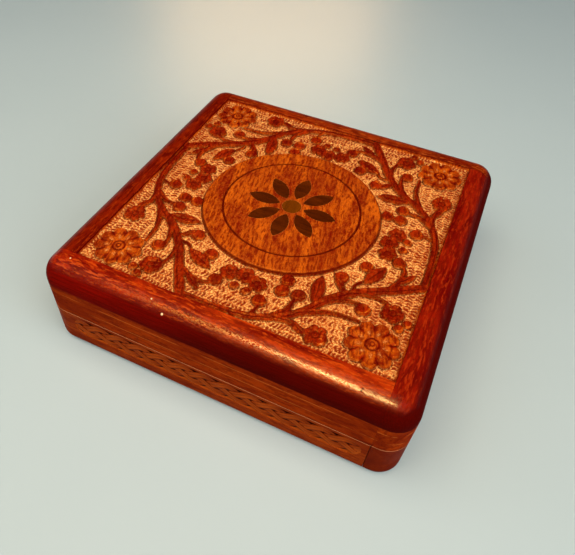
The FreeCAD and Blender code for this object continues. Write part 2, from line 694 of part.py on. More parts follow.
def make_floor(nail_holes):
    """Bottom board, flush with the underside."""
    board = block("floor_board", (f"{IN_LEFT} - floor_lap", f"{IN_RIGHT} + floor_lap"),
                  (f"{LINER_BACK} - floor_lap", f"{IN_BACK} + floor_lap"), ("0", "floor_thick"))
    piece(cut("floor", board, nail_holes), "base_floor")
    piece(group("nail_set", nails("nail")), "floor_nails")


def hinge_vee():
    """Open groove along the back seam, so that the lid can swing past upright before the edges meet."""
    depth = f"(knuckle_inset + {OVERCUT})"
    half = f"({depth} * tan(vee_angle))"
    section = [("0", half), (depth, "0"), (depth, f"2 * {half}")]
    return bar_along_x("hinge_vee", section, (LEFT, PIVOT_Y, f"{PIVOT_Z} - {half}"), "box_width")


def make_lid_walls(outside, vee, catch_holes, hinge_holes):
    """Four lid walls: each runs past the end of the next one, turning round the box."""
    reach = "(tongue_reach + tongue_fit)"
    seat = block("panel_seat", (f"{IN_LEFT} - {reach}", f"{IN_RIGHT} + {reach}"),
                 (f"{IN_FRONT} - {reach}", f"{IN_BACK} + {reach}"),
                 (f"{PANEL_UNDER} - tongue_fit", f"{PANEL_UNDER} + tongue_thick + tongue_fit"))
    hinges = hinge_holes + hinge_cuts("lid", LID_FOOT, f"{LID_FOOT} + leaf_thick")
    walls = [
        ("lid_front_wall", (LEFT, IN_RIGHT), (FRONT, IN_FRONT), catch_holes),
        ("lid_right_wall", (IN_RIGHT, RIGHT), (FRONT, IN_BACK), []),
        ("lid_back_wall", (IN_LEFT, RIGHT), (IN_BACK, BACK), [vee] + hinges),
        ("lid_left_wall", (LEFT, IN_LEFT), (IN_FRONT, BACK), [vee]),
    ]
    for label, across, along, cuts in walls:
        make_wall(label, outside, across, along, (LID_FOOT, TOP), [seat] + cuts)


def make_liner_cuts(rail_seat, plate_holes):
    """What is let into the fixed wall behind the sliding front, and the stop pin that stands in it."""
    start = f"({SLIDER_BACK} - stop_reach)"
    stop = rod("stop", "+y", ("stop_place", start, "stop_level"), "stop_radius", f"{LINER_BACK} - {start}")
    piece(stop, "slide_stop_pin")
    stop_hole = rod("stop_hole", "+y", ("stop_place", LINER_FRONT, "stop_level"), "stop_radius",
                    f"{LINER_BACK} - {LINER_FRONT}")
    half_length, half_height = "(plate_length / 2 + plate_fit)", "(plate_height / 2 + plate_fit)"
    plate_seat = block("plate_seat", (f"{PLATE_MIDDLE} - {half_length}", f"{PLATE_MIDDLE} + {half_length}"),
                       (f"{LINER_FRONT} - {OVERCUT}", PLATE_BACK),
                       (f"bolt_level - {half_height}", f"bolt_level + {half_height}"))
    slot = stem_slot("liner_slot", LINER_FRONT, f"({LINER_BACK} + {OVERCUT})")
    return [rail_seat, plate_seat, slot, stop_hole] + plate_holes


def make_base_walls(outside, vee, nail_holes, hinge_holes, liner_cuts):
    """Three fixed walls of the base and the liner behind its sliding front."""
    reach = "(floor_lap + floor_fit)"
    seat = block("floor_seat", (f"{IN_LEFT} - {reach}", f"{IN_RIGHT} + {reach}"),
                 (f"{LINER_BACK} - {reach}", f"{IN_BACK} + {reach}"), (f"-{OVERCUT}", "floor_thick"))
    hinges = hinge_holes + hinge_cuts("base", "base_height - leaf_thick", "base_height")
    walls = [
        ("base_right_wall", (IN_RIGHT, RIGHT), (FRONT, IN_BACK), []),
        ("base_back_wall", (IN_LEFT, RIGHT), (IN_BACK, BACK), [vee] + hinges),
        ("base_left_wall", (LEFT, IN_LEFT), (LINER_FRONT, BACK), [vee]),
        ("base_front_liner", (IN_LEFT, IN_RIGHT), (LINER_FRONT, LINER_BACK), liner_cuts),
    ]
    for label, across, along, cuts in walls:
        make_wall(label, outside, across, along, ("0", "base_height"), [seat] + nail_holes + cuts)


def make_box():
    outside = rounded_block()
    vee = hinge_vee()
    base_holes, lid_holes = make_hinges()
    catch_holes = make_catch()
    plate_holes = make_bolt()
    rail_seat = make_rail()
    nail_holes = nails("nail_hole")
    make_inlays()
    make_panel()
    make_floor(nail_holes)
    make_slider(outside)
    make_lid_walls(outside, vee, catch_holes, lid_holes)
    make_base_walls(outside, vee, nail_holes, base_holes, make_liner_cuts(rail_seat, plate_holes))


def check_and_write():
    doc.recompute()
    failed = [obj.Name for obj in doc.Objects if "Invalid" in obj.State or "Error" in obj.State]
    if failed:
        raise RuntimeError(f"failed features: {failed}")
    for obj in pieces:
        shape = obj.Shape
        if shape.isNull() or not shape.isValid() or not shape.Solids:
            raise RuntimeError(f"no sound solid in {obj.Label}")
    os.makedirs("parts", exist_ok=True)
    for obj in pieces:
        obj.Shape.exportStep(f"parts/{obj.Label}.step")
        print(obj.Label, len(obj.Shape.Solids), round(obj.Shape.Volume, 2))


fill_sheet()
make_box()
check_and_write()
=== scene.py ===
"""Carved wooden puzzle box: the looks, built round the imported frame."""
import math

import bmesh
import bpy
import numpy as np
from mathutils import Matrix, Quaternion, Vector


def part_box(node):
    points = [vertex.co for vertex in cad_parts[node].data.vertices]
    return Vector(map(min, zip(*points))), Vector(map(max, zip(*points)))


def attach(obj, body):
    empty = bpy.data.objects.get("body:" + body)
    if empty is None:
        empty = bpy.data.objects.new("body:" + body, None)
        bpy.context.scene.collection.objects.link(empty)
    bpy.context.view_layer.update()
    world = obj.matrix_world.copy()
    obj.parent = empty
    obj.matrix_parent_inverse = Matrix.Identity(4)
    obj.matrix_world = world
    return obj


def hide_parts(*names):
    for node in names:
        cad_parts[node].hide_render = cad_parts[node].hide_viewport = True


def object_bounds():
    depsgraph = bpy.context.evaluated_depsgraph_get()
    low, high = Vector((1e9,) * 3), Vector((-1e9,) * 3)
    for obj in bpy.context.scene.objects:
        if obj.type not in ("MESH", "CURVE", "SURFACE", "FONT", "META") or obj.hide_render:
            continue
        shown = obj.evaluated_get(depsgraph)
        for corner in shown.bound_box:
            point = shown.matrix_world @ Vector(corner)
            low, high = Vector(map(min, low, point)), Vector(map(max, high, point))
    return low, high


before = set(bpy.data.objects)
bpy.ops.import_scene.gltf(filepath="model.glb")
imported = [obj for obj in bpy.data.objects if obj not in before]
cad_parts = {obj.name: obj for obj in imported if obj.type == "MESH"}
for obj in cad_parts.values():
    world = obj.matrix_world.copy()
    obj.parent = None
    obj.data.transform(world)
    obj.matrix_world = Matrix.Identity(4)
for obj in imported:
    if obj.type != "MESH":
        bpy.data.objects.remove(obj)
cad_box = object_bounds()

MM = 0.001

# The photograph's camera: where it stood round the box, and where its optical centre fell in the picture.
PHOTO_WIDTH = 575
PHOTO_HEIGHT = 555
FOCAL_PIXELS = 552.1
OPTICAL_CENTRE_ACROSS = 258.9
OPTICAL_CENTRE_DOWN = 267.7
CAMERA_TURN = 23.18
CAMERA_RISE = 47.64
CAMERA_ROLL = 2.94
CAMERA_DISTANCE = 272.2 * MM
CAMERA_AIM = Vector((-13.2, -1.4, 0.0)) * MM
CAMERA_NEAR = 10 * MM
SENSOR_WIDTH = 36.0

# Places read from the frame, in millimetres.
PANEL_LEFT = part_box("lid_left_wall")[1].x / MM
PANEL_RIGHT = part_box("lid_right_wall")[0].x / MM
PANEL_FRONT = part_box("lid_front_wall")[1].y / MM
PANEL_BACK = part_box("lid_back_wall")[0].y / MM
PANEL_MIDDLE = np.array((PANEL_LEFT + PANEL_RIGHT, PANEL_FRONT + PANEL_BACK)) / 2
PANEL_HALF = np.array((PANEL_RIGHT - PANEL_LEFT, PANEL_BACK - PANEL_FRONT)) / 2
PANEL_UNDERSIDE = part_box("lid_panel")[0].z / MM
BASE_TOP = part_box("front_slider")[1].z / MM
LID_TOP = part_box("lid_front_wall")[1].z / MM
BOX_LOW, BOX_HIGH = (corner / MM for corner in cad_box)
PETAL_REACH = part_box("inlay_petals")[1].x / MM
CENTRE_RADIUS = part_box("inlay_centre")[1].x / MM
INLAY_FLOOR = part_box("inlay_petals")[0].z / MM

# The carved board, in millimetres: its grid of heights, its tongue and how its motifs are cut.
GRID_STEP = 0.36
FAR = 99.0
MARGIN = 2
PANEL_GAP = 0.15
TONGUE_REACH = PANEL_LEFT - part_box("lid_panel")[0].x / MM
TONGUE_DROP = 1.0
CARVE_DEPTH = 1.5
RELIEF_HEIGHT = 1.2
EDGE_ROUND = 0.75
RIM_WIDTH = 0.55
RIM_WEAR = 0.14
HOLLOW_SLOPE = 0.9
HOLLOW_DEPTH = 0.3
CUT_WIDTH = 0.5
CUT_DEPTH = 0.35
HAND_WOBBLE = 0.2
CURVE_STEPS = 8
LINE_WIDTH = 0.4
STEM_GROOVE = 0.2
VEIN_DEPTH = 0.35
RIB_HEIGHT = 0.06
PETAL_GOUGE = 0.4
BOSS_RING_WIDTH = 0.5
BOSS_RING_DEPTH = 0.45
EYE_WIDTH = 0.3
EYE_DEPTH = 0.3
FLOWER_CROWN = 0.15
CRESCENT_WIDTH = 0.32
CRESCENT_DEPTH = 0.4

# The gouged ground between the motifs, and the cove that runs up to the walls.
GOUGE_SEED = 7
STROKE_PITCH = 1.5
STROKE_LENGTH = 3.2
STROKE_REACH = 9.0
STROKE_DEPTHS = (0.1, 0.5)
STROKE_STAINED = 0.17
STROKE_CLEAR = 0.3
STROKE_FADE = 0.6
EDGE_COVE = 1.3
COVE_HEIGHT = 1.35

# The medallion with its scribed ring and inlaid flower.
MEDALLION_RADIUS = 38.5
MEDALLION_SHOULDER = 1.1
FLAT_INSET = 2.0 * MEDALLION_SHOULDER
RING_RADIUS = 29.5
RING_HALF_WIDTH = 0.55
RING_FLAT = 0.35
RING_DEPTH = 0.45
RING_SIDES = 160
PETALS = 8
PETAL_START = 5.4
PETAL_HALF_WIDTH = 3.3
PETAL_STEPS = 13
CENTRE_SIDES = 64
INLAY_LINE = 0.32
POCKET_PLAY = 0.05

# Paint on the carvings: red for stain, rubbing and a painted highlight, green for cut lines and painted
# shade, blue for gouge strokes or pits painted as shade.
PLAIN_TONE = 0.5
UNCARVED = (0.0, 0.0, 0.0, 1.0)
PLAIN_FACE = (PLAIN_TONE, 0.0, 0.0, 1.0)
SCRIBED_LINE = (PLAIN_TONE, 1.0, 0.0, 1.0)
PALE_LINE = (0.28, 0.0, 0.0, 1.0)

# The drawing of one side of the panel, whose edge is 100 from the middle; turned, it serves all four.
SIDES = 4
GRID_EDGE = 100
VINE = [(-31, -97), (-10, -97), (11, -95), (28, -88), (40, -77), (50, -62), (65, -49), (82, -39), (98, -29)]
VINE_WIDTHS = (2.6, 4.0)
BRANCHES = [
    [(-80, -37), (-75, -46), (-71, -56), (-70, -70)],
    [(-68, -46), (-62, -53), (-59, -60), (-58, -67)],
    [(-54, -58), (-50, -66), (-49, -75), (-51, -83)],
    [(-40, -79), (-31, -83), (-22, -84), (-16, -81)],
    [(25, -89), (31, -80), (32, -70)],
    [(26, -89), (35, -88), (47, -90)],
]
BRANCH_WIDTHS = (2.8, 1.5)
TWIGS = [[(-53, -60), (-46, -60), (-41, -63)], [(-30, -66), (-28, -62)], [(13, -93), (15, -87), (14, -82)]]
TWIG_WIDTHS = (1.5, 1.1)
LEAVES = [((-42, -64), (-23, -73)), ((43, -70), (40, -47))]
LEAF_WIDTH = 5.4
LEAF_VEINS = 5
LEAFLETS = [((-86, -35), (-93, -46)), ((-34, -82), (-21, -91)), ((57, -55), (46, -41))]
LEAFLET_WIDTH = 3.0
LEAFLET_VEINS = 3
DAISY_RADIUS = 10.2
DAISY_NOTCH = 1.9
DAISY_PETALS = 9
DAISY_BOSS = 0.24
DAISY_TONES = (0.5, 0.64)
ROSETTE_RADIUS = 4.6
BLOSSOM_RADIUS = 4.0
BLOSSOM_NOTCH = 0.9
FULL_PETALS = 6
SPARSE_PETALS = 5
BLOSSOM_BOSS = 0.3
BLOSSOM_TONES = (0.8, 1.0)
DAISY = ((-82, -82), DAISY_RADIUS, DAISY_NOTCH, DAISY_PETALS)
BLOSSOMS = [
    ((-56, -86), ROSETTE_RADIUS, BLOSSOM_NOTCH, SPARSE_PETALS),
    ((52, -90), ROSETTE_RADIUS, BLOSSOM_NOTCH, FULL_PETALS),
    ((-11, -70), BLOSSOM_RADIUS, BLOSSOM_NOTCH, FULL_PETALS),
    ((-1, -68), BLOSSOM_RADIUS, BLOSSOM_NOTCH, SPARSE_PETALS),
    ((8, -71), BLOSSOM_RADIUS, BLOSSOM_NOTCH, FULL_PETALS),
]
BUDS = [(23, -69), (23, -60), (33, -68), (-28, -62), (-16, -79), (-61, -70), (-43, -51), (14, -82)]
BUD_RADIUS = 2.9
BUDLETS = [(-60, -96), (-4, -78), (4, -79), (-93, -56), (-65, -92)]
BUDLET_RADIUS = 1.9
STEM_TONE = 1.0
LEAF_TONE = 0.95
BUD_TONE = 0.97

# The walls: how far their arrises are eased, and the braid carved round the base.
WELD_DISTANCE = 1e-6
FLAT_ANGLE = 0.3
ARRIS_ANGLE = 40
SHARP_ANGLE = 60
LID_ARRIS = 0.08
BASE_ARRIS = 0.2
BRAID_STEP = 0.2
BRAID_STRANDS = 3
BRAID_PERIOD = 29.1
BRAID_SWING = 3.1
BRAID_SHIFT = 3.4
BRAID_HALF_STRAND = 1.8
BRAID_HALF_BAND = 5.45
BRAID_PIT = 2.5
STRAND_SINK = 0.16
STRAND_DIP = 0.12
STRAND_CROWN = 0.12
STRAND_SCORE = 0.1
PIT_EDGE = 0.3
BAND_SLOPE = 2.4
LOWER_RIM = 0.9
CUTTER_PROUD = 0.6
CUTTER_CLEAR = 2.0
OUTER_SKIN = 0.03
BRAID_START = 13.0
BRAID_STOP = 2.2
BRAID_MIDDLE = 13.2
BACK_BRAID_MIDDLE = 11.4


def shown(name, mesh, material, body, slot, *nodes):
    """Puts a mesh in the scene as a piece that rides on a body and stands for the named nodes."""
    piece = bpy.data.objects.new(name, mesh)
    bpy.context.scene.collection.objects.link(piece)
    mesh.materials.clear()
    mesh.materials.append(material)
    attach(piece, body)
    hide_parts(*nodes)


# Carving: heights of the panel's top over its sunk ground.

def smooth_curve(points):
    """Points along a smooth curve that passes through the given ones."""
    ends = [2 * points[0] - points[1], *points, 2 * points[-1] - points[-2]]
    found = []
    for a, b, c, d in zip(ends, ends[1:], ends[2:], ends[3:]):
        for step in np.linspace(0, 1, CURVE_STEPS, endpoint=False):
            found.append(0.5 * (2 * b + (c - a) * step + (2 * a - 5 * b + 4 * c - d) * step ** 2
                                + (3 * b - a - 3 * c + d) * step ** 3))
    return np.array(found + [points[-1]])


def bell(distance, width):
    """One at no distance, falling softly to nothing past the width."""
    return np.exp(-(distance / width) ** 2)


def hand_wobble(x, y):
    """The unsteadiness of a hand-held gouge: a smooth uneven field of about one either way."""
    return (np.sin(1.3 * x + 1.1 * np.sin(0.9 * y)) * np.sin(1.5 * y + 1.3 * np.sin(0.7 * x))
            + 0.7 * np.sin(3.1 * x - 1.9 * y) * np.sin(2.3 * x + 2.9 * y))


class Carving:
    """Height field of the carved board, in millimetres above its ground, with the stain on its tops."""

    def __init__(self):
        self.across = np.arange(PANEL_LEFT + PANEL_GAP, PANEL_RIGHT - PANEL_GAP + GRID_STEP / 2, GRID_STEP)
        self.along = np.arange(PANEL_FRONT + PANEL_GAP, PANEL_BACK - PANEL_GAP + GRID_STEP / 2, GRID_STEP)
        self.x, self.y = np.meshgrid(self.across, self.along)
        self.height = np.zeros_like(self.x)
        self.clear = np.full_like(self.x, FAR)
        self.tone = np.zeros_like(self.x)
        self.lines = np.zeros_like(self.x)
        self.wobble = hand_wobble(self.x, self.y)
        self.quarter = 0

    def turned(self, point):
        """A point of the drawing, turned to the side of the panel that is being carved."""
        x, y = point
        for _ in range(self.quarter):
            x, y = -y, x
        return PANEL_MIDDLE + PANEL_HALF * (x, y) / GRID_EDGE

    def window(self, low, high):
        """The part of the grid inside a rectangle, as slices."""
        first = np.searchsorted(self.across, low[0]), np.searchsorted(self.along, low[1])
        last = np.searchsorted(self.across, high[0]), np.searchsorted(self.along, high[1])
        return slice(first[1], last[1]), slice(first[0], last[0])

    def around(self, centre, radius):
        """The grid round a centre, and its places from there."""
        middle = self.turned(centre)
        part = self.window(middle - radius - MARGIN, middle + radius + MARGIN)
        return part, self.x[part] - middle[0], self.y[part] - middle[1]

    def lay(self, part, outside, height, tone, line=0.0):
        """Lays one motif where it is the higher, hollowed inside a worn rim, with its stain and lines."""
        outside = outside + HAND_WOBBLE * self.wobble[part]
        self.clear[part] = np.minimum(self.clear[part], outside)
        rim = np.clip(-outside / EDGE_ROUND, 0, 1)
        hollow = np.clip((-outside - RIM_WIDTH) / HOLLOW_SLOPE, 0, 1)
        height = height + 0.5 * HAND_WOBBLE * self.wobble[part] - HOLLOW_DEPTH * hollow
        height = height * rim * (2 - rim)
        tone = tone - RIM_WEAR * (1 - hollow)
        higher = height > self.height[part]
        self.height[part] = np.where(higher, height, self.height[part])
        self.tone[part] = np.where(higher, tone, self.tone[part])
        self.lines[part] = np.where(higher, line, self.lines[part])

    def stem(self, points, widths):
        """A vine stem: tapering, flat-topped, with a gouge line beside its middle and a painted highlight
        along its other side.
        """
        curve = smooth_curve([self.turned(p) for p in points])
        reach = max(widths) + MARGIN
        part = self.window(curve.min(0) - reach, curve.max(0) + reach)
        x, y = self.x[part], self.y[part]
        outside = np.full_like(x, FAR)
        middle = np.full_like(x, FAR)
        half = np.ones_like(x)
        for a, b, width in zip(curve, curve[1:], np.linspace(*widths, len(curve)) / 2):
            run = b - a
            share = np.clip(((x - a[0]) * run[0] + (y - a[1]) * run[1]) / (run @ run), 0, 1)
            away = np.hypot(x - a[0] - share * run[0], y - a[1] - share * run[1])
            side = np.sign((x - a[0]) * run[1] - (y - a[1]) * run[0])
            nearer = away - width < outside
            outside = np.where(nearer, away - width, outside)
            middle = np.where(nearer, away * side, middle)
            half = np.where(nearer, width, half)
        line = bell(middle - 0.35 * half, LINE_WIDTH)
        # A lighter band along one side of the stem, with no height of its own: a painted highlight.
        painted_highlight_band = bell(middle + 0.3 * half, 0.3 * half)
        self.lay(part, outside, RELIEF_HEIGHT - STEM_GROOVE * line, STEM_TONE - 0.3 * painted_highlight_band, 0.9 * line)

    def leaf(self, foot, tip, width, veins):
        """A pointed leaf with a middle vein and side veins."""
        a, b = self.turned(foot), self.turned(tip)
        length = np.hypot(*(b - a))
        way = (b - a) / length
        part = self.window(np.minimum(a, b) - width - MARGIN, np.maximum(a, b) + width + MARGIN)
        x, y = self.x[part] - a[0], self.y[part] - a[1]
        along = (x * way[0] + y * way[1]) / length
        across = y * way[0] - x * way[1]
        bulge = width / 2
        radius = (length ** 2 / 4 + bulge ** 2) / (2 * bulge)
        outside = np.hypot((along - 0.5) * length, np.abs(across) + radius - bulge) - radius
        vein = bell(across, LINE_WIDTH) * np.clip(4 * along, 0, 1) * np.clip(4 - 4 * along, 0, 1)
        ribs = np.cos(2 * np.pi * (veins * along - 1.2 * np.abs(across) / width))
        height = RELIEF_HEIGHT - VEIN_DEPTH * vein + RIB_HEIGHT * ribs
        self.lay(part, outside, height, LEAF_TONE - 0.12 * ribs, 0.8 * vein)

    def flower(self, centre, radius, notch, petals, boss, tones):
        """An open flower: flat petals, gouged along their middles, about a ringed boss."""
        part, x, y = self.around(centre, radius)
        away = np.hypot(x, y)
        swing = np.abs(np.cos(petals * np.arctan2(y, x) / 2))
        edge = radius - notch * (1 - swing ** 0.8)
        share = away / edge
        off_axis = away * (2 / petals) * np.arccos(np.clip(swing, 0, 1))
        off_notch = away * (2 / petals) * np.arcsin(np.clip(swing, 0, 1))
        outer = np.clip((share - 0.48) * 3, 0, 1)
        streak = bell(off_axis, 0.1 * radius) * bell(share - 0.5, 0.2)
        valley = bell(off_notch, 0.06 * radius) * outer
        boss_radius = boss * radius
        ring = bell(away - boss_radius, BOSS_RING_WIDTH)
        eye = bell(away - 0.35 * boss_radius, EYE_WIDTH)
        height = (RELIEF_HEIGHT - PETAL_GOUGE * streak - PETAL_GOUGE * valley - BOSS_RING_DEPTH * ring
                  - EYE_DEPTH * eye + FLOWER_CROWN * (1 - share))
        inner, tips = tones
        tone = inner + (tips - inner) * outer - 0.25 * streak + 0.3 * valley + 0.4 * ring + 0.3 * eye
        self.lay(part, away - edge, height, tone, np.maximum(0.9 * valley, 0.8 * np.maximum(ring, eye)))

    def bud(self, centre, radius):
        """A round bud with a gouged crescent along its outer side, painted lighter as a highlight."""
        part, x, y = self.around(centre, radius)
        outward = self.turned(centre) - PANEL_MIDDLE
        outward = outward / np.hypot(*outward)
        away = np.hypot(x, y)
        out = x * outward[0] + y * outward[1]
        gouge = np.hypot(x + 0.4 * radius * outward[0], y + 0.4 * radius * outward[1]) - radius
        crescent = bell(gouge, CRESCENT_WIDTH) * np.clip(out / radius + 0.3, 0, 1)
        # The crescent's lighter tone is a painted highlight on the gouge.
        self.lay(part, away - radius, RELIEF_HEIGHT - CRESCENT_DEPTH * crescent, BUD_TONE - 0.7 * crescent)


def carve_motifs(work):
    """Every stem, leaf, flower and bud of the drawing, on all four sides of the panel."""
    stems = [(VINE, VINE_WIDTHS)]
    stems += [(line, BRANCH_WIDTHS) for line in BRANCHES]
    stems += [(line, TWIG_WIDTHS) for line in TWIGS]
    for quarter in range(SIDES):
        work.quarter = quarter
        for points, widths in stems:
            work.stem(points, widths)
        for ends in LEAVES:
            work.leaf(*ends, LEAF_WIDTH, LEAF_VEINS)
        for ends in LEAFLETS:
            work.leaf(*ends, LEAFLET_WIDTH, LEAFLET_VEINS)
        work.flower(*DAISY, DAISY_BOSS, DAISY_TONES)
        for blossom in BLOSSOMS:
            work.flower(*blossom, BLOSSOM_BOSS, BLOSSOM_TONES)
        for centre in BUDS:
            work.bud(centre, BUD_RADIUS)
        for centre in BUDLETS:
            work.bud(centre, BUDLET_RADIUS)


def carve_panel():
    """The whole drawing in relief, then the medallion, the gouged ground and the colouring masks."""
    work = Carving()
    carve_motifs(work)
    into = MEDALLION_RADIUS - np.hypot(work.x, work.y)
    shoulder = np.clip(into / MEDALLION_SHOULDER, 0, 1)
    disc = CARVE_DEPTH * shoulder * (2 - shoulder)
    work.clear = np.minimum(work.clear, -into)
    outside = np.maximum(work.clear, 0)
    strokes = gouged_ground(work, np.random.default_rng(GOUGE_SEED))
    strokes = strokes * np.clip((outside - STROKE_CLEAR) / STROKE_FADE, 0, 1)
    border = np.minimum(PANEL_HALF[0] - np.abs(work.x - PANEL_MIDDLE[0]),
                        PANEL_HALF[1] - np.abs(work.y - PANEL_MIDDLE[1]))
    cove = np.clip(1 - border / (EDGE_COVE * (1 + 0.35 * work.wobble)), 0, 1) ** 2
    strokes = strokes * (0.55 + 0.45 * bell(border, STROKE_REACH))
    ground = COVE_HEIGHT * cove - CUT_DEPTH * bell(outside, CUT_WIDTH) - strokes
    height = np.where(into > 0, disc, np.where(work.clear < 0, work.height, ground))
    rim = np.clip(-work.clear / EDGE_ROUND, 0, 1)
    tone = np.where(work.clear < 0, np.clip(work.tone, 0, 1) * np.clip(3 * rim, 0, 1), 0.9 * cove)
    tone = np.where(into > 0, PLAIN_TONE, tone)
    # Green: cut lines, and round every motif and low on its sides, partly stain in the cuts, partly painted
    # shade.
    cut = np.where(work.clear < 0, np.maximum(0.8 * (1 - rim) ** 2, work.lines), bell(outside, CUT_WIDTH))
    cut = cut * (1 - cove)
    # Inside the medallion's edge: a dark line, partly stain and partly painted shade along its shoulder.
    cut = np.where(into > 0, 0.9 * bell(into - 0.35, LINE_WIDTH), cut)
    masks = np.stack([tone, cut, np.clip(strokes / STROKE_STAINED, 0, 1), np.ones_like(tone)], -1)
    masks[into > FLAT_INSET] = PLAIN_FACE
    return work, height, masks


def gouged_ground(work, draw):
    """Rows of short gouge strokes that stand square to the nearest border, no two quite alike."""
    edge_x = np.minimum(work.x - PANEL_LEFT, PANEL_RIGHT - work.x)
    edge_y = np.minimum(work.y - PANEL_FRONT, PANEL_BACK - work.y)
    edge = np.minimum(edge_x, edge_y)
    run = np.where(edge_x < edge_y, work.y, work.x) + PANEL_HALF.max()
    run = run + 0.35 * np.sin(1.9 * edge + 2.0 * np.sin(0.4 * run))
    edge = edge + 0.7 * np.sin(0.55 * run) * np.sin(0.23 * run + 1)
    rows = np.clip(edge / STROKE_LENGTH, 0, None).astype(int)
    places = run / STROKE_PITCH + draw.uniform(0, 1, rows.max() + 1)[rows] + 1
    columns = places.astype(int)
    depth = draw.uniform(*STROKE_DEPTHS, (rows.max() + 1, columns.max() + 1))[rows, columns]
    beside = np.abs(places - columns - 0.5) / 0.45
    along = np.abs(edge / STROKE_LENGTH - rows - 0.5) / 0.5
    return depth * np.clip(1 - beside ** 2, 0, 1) * np.clip(1 - along ** 4, 0, 1)


def finished_mesh(name, body):
    """A named mesh from a bmesh that is done with."""
    mesh = bpy.data.meshes.new(name)
    body.to_mesh(mesh)
    body.free()
    return mesh


def panel_mesh():
    """The carved board: a fine relief skin, and inside it a plain medallion with inlay pockets."""
    work, height, masks = carve_panel()
    rows, columns = height.shape
    top = LID_TOP - CARVE_DEPTH + height
    centre_x = (work.x[1:, 1:] + work.x[:-1, :-1]) / 2
    centre_y = (work.y[1:, 1:] + work.y[:-1, :-1]) / 2
    flat_radius = MEDALLION_RADIUS - FLAT_INSET
    kept = np.argwhere(np.hypot(centre_x, centre_y) > flat_radius)
    body = bmesh.new()
    paint = body.verts.layers.float_color.new("carving")
    verts = {}

    def grid_vert(row, column):
        key = row * columns + column
        if key not in verts:
            spot = work.x[row, column], work.y[row, column], top[row, column]
            verts[key] = body.verts.new([place * MM for place in spot])
            verts[key][paint] = masks[row, column]
        return verts[key]

    for row, column in kept:
        body.faces.new([grid_vert(row, column), grid_vert(row, column + 1),
                        grid_vert(row + 1, column + 1), grid_vert(row + 1, column)])
    sides = [[grid_vert(0, c) for c in range(columns)], [grid_vert(r, columns - 1) for r in range(rows)],
             [grid_vert(rows - 1, c) for c in reversed(range(columns))],
             [grid_vert(r, 0) for r in reversed(range(rows))]]
    close_board(body, paint, sides)
    medallion_face(body, paint, flat_radius)
    bmesh.ops.recalc_face_normals(body, faces=body.faces)
    mesh = finished_mesh("carved_panel", body)
    mesh.shade_smooth()
    mesh.set_sharp_from_angle(angle=math.radians(SHARP_ANGLE))
    return mesh


def close_board(body, paint, sides):
    """Closes the relief skin into a board: straight edges, the tongue all round, and the flat underside."""
    tongue_top = LID_TOP - CARVE_DEPTH - TONGUE_DROP
    tongue_foot = tongue_top - TONGUE_REACH
    corners = [(side[0].co.x / MM, side[0].co.y / MM) for side in sides]
    outward = [(-1, -1), (1, -1), (1, 1), (-1, 1)]
    levels = [(0, tongue_top), (TONGUE_REACH, tongue_top), (TONGUE_REACH, tongue_foot), (0, tongue_foot),
              (0, PANEL_UNDERSIDE)]
    rings = [[body.verts.new(((x + out * sx) * MM, (y + out * sy) * MM, z * MM))
              for (x, y), (sx, sy) in zip(corners, outward)] for out, z in levels]
    for ring in rings:
        for vert in ring:
            vert[paint] = PLAIN_FACE
    for number, side in enumerate(sides):
        after = (number + 1) % SIDES
        body.faces.new([*reversed(side), rings[0][number], rings[0][after]])
        for upper, lower in zip(rings, rings[1:]):
            body.faces.new([upper[number], lower[number], lower[after], upper[after]])
    body.faces.new(rings[-1])


def medallion_face(body, paint, flat_radius):
    """The plain disc inside the relief: the scribed ring, and pale-edged pockets for the inlays."""
    def loop(points, z, mask):
        made = [body.verts.new((x * MM, y * MM, z * MM)) for x, y in points]
        for vert in made:
            vert[paint] = mask
        return made

    def edges(made):
        return [body.edges.get(pair) or body.edges.new(pair) for pair in zip(made, made[1:] + made[:1])]

    def band(outer, inner):
        for a, b, c, d in zip(outer, outer[1:] + outer[:1], inner[1:] + inner[:1], inner):
            body.faces.new([a, b, c, d])

    rim = [e for e in body.edges if e.is_boundary and e.verts[0].co.xy.length < (flat_radius + MARGIN) * MM]
    for edge in rim:
        for vert in edge.verts:
            vert.co.z = LID_TOP * MM
    groove = [(RING_HALF_WIDTH, 0, PLAIN_FACE), (RING_FLAT, RING_DEPTH, SCRIBED_LINE),
              (-RING_FLAT, RING_DEPTH, SCRIBED_LINE), (-RING_HALF_WIDTH, 0, PLAIN_FACE)]
    ring = [loop(circle(RING_RADIUS + offset, RING_SIDES), LID_TOP - depth, mask)
            for offset, depth, mask in groove]
    for outer, inner in zip(ring, ring[1:]):
        band(outer, inner)
    bmesh.ops.triangle_fill(body, edges=rim + edges(ring[0]), use_beauty=True)
    outlines = [(petal_outline(number, INLAY_LINE), petal_outline(number, 0)) for number in range(PETALS)]
    outlines.append((circle(CENTRE_RADIUS + INLAY_LINE, CENTRE_SIDES), circle(CENTRE_RADIUS, CENTRE_SIDES)))
    borders = [loop(outer, LID_TOP, PLAIN_FACE) for outer, _ in outlines]
    rims = [edge for border in borders for edge in edges(border)]
    bmesh.ops.triangle_fill(body, edges=edges(ring[-1]) + rims, use_beauty=True)
    for border, (_, inner) in zip(borders, outlines):
        pocket = loop(inner, LID_TOP, PALE_LINE)
        floor = loop(inner, INLAY_FLOOR - POCKET_PLAY, SCRIBED_LINE)
        band(border, pocket)
        band(pocket, floor)
        body.faces.new(floor)


def circle(radius, count):
    """Points round the medallion's middle."""
    turns = np.linspace(0, 2 * np.pi, count, endpoint=False)
    return [(radius * math.cos(t), radius * math.sin(t)) for t in turns]


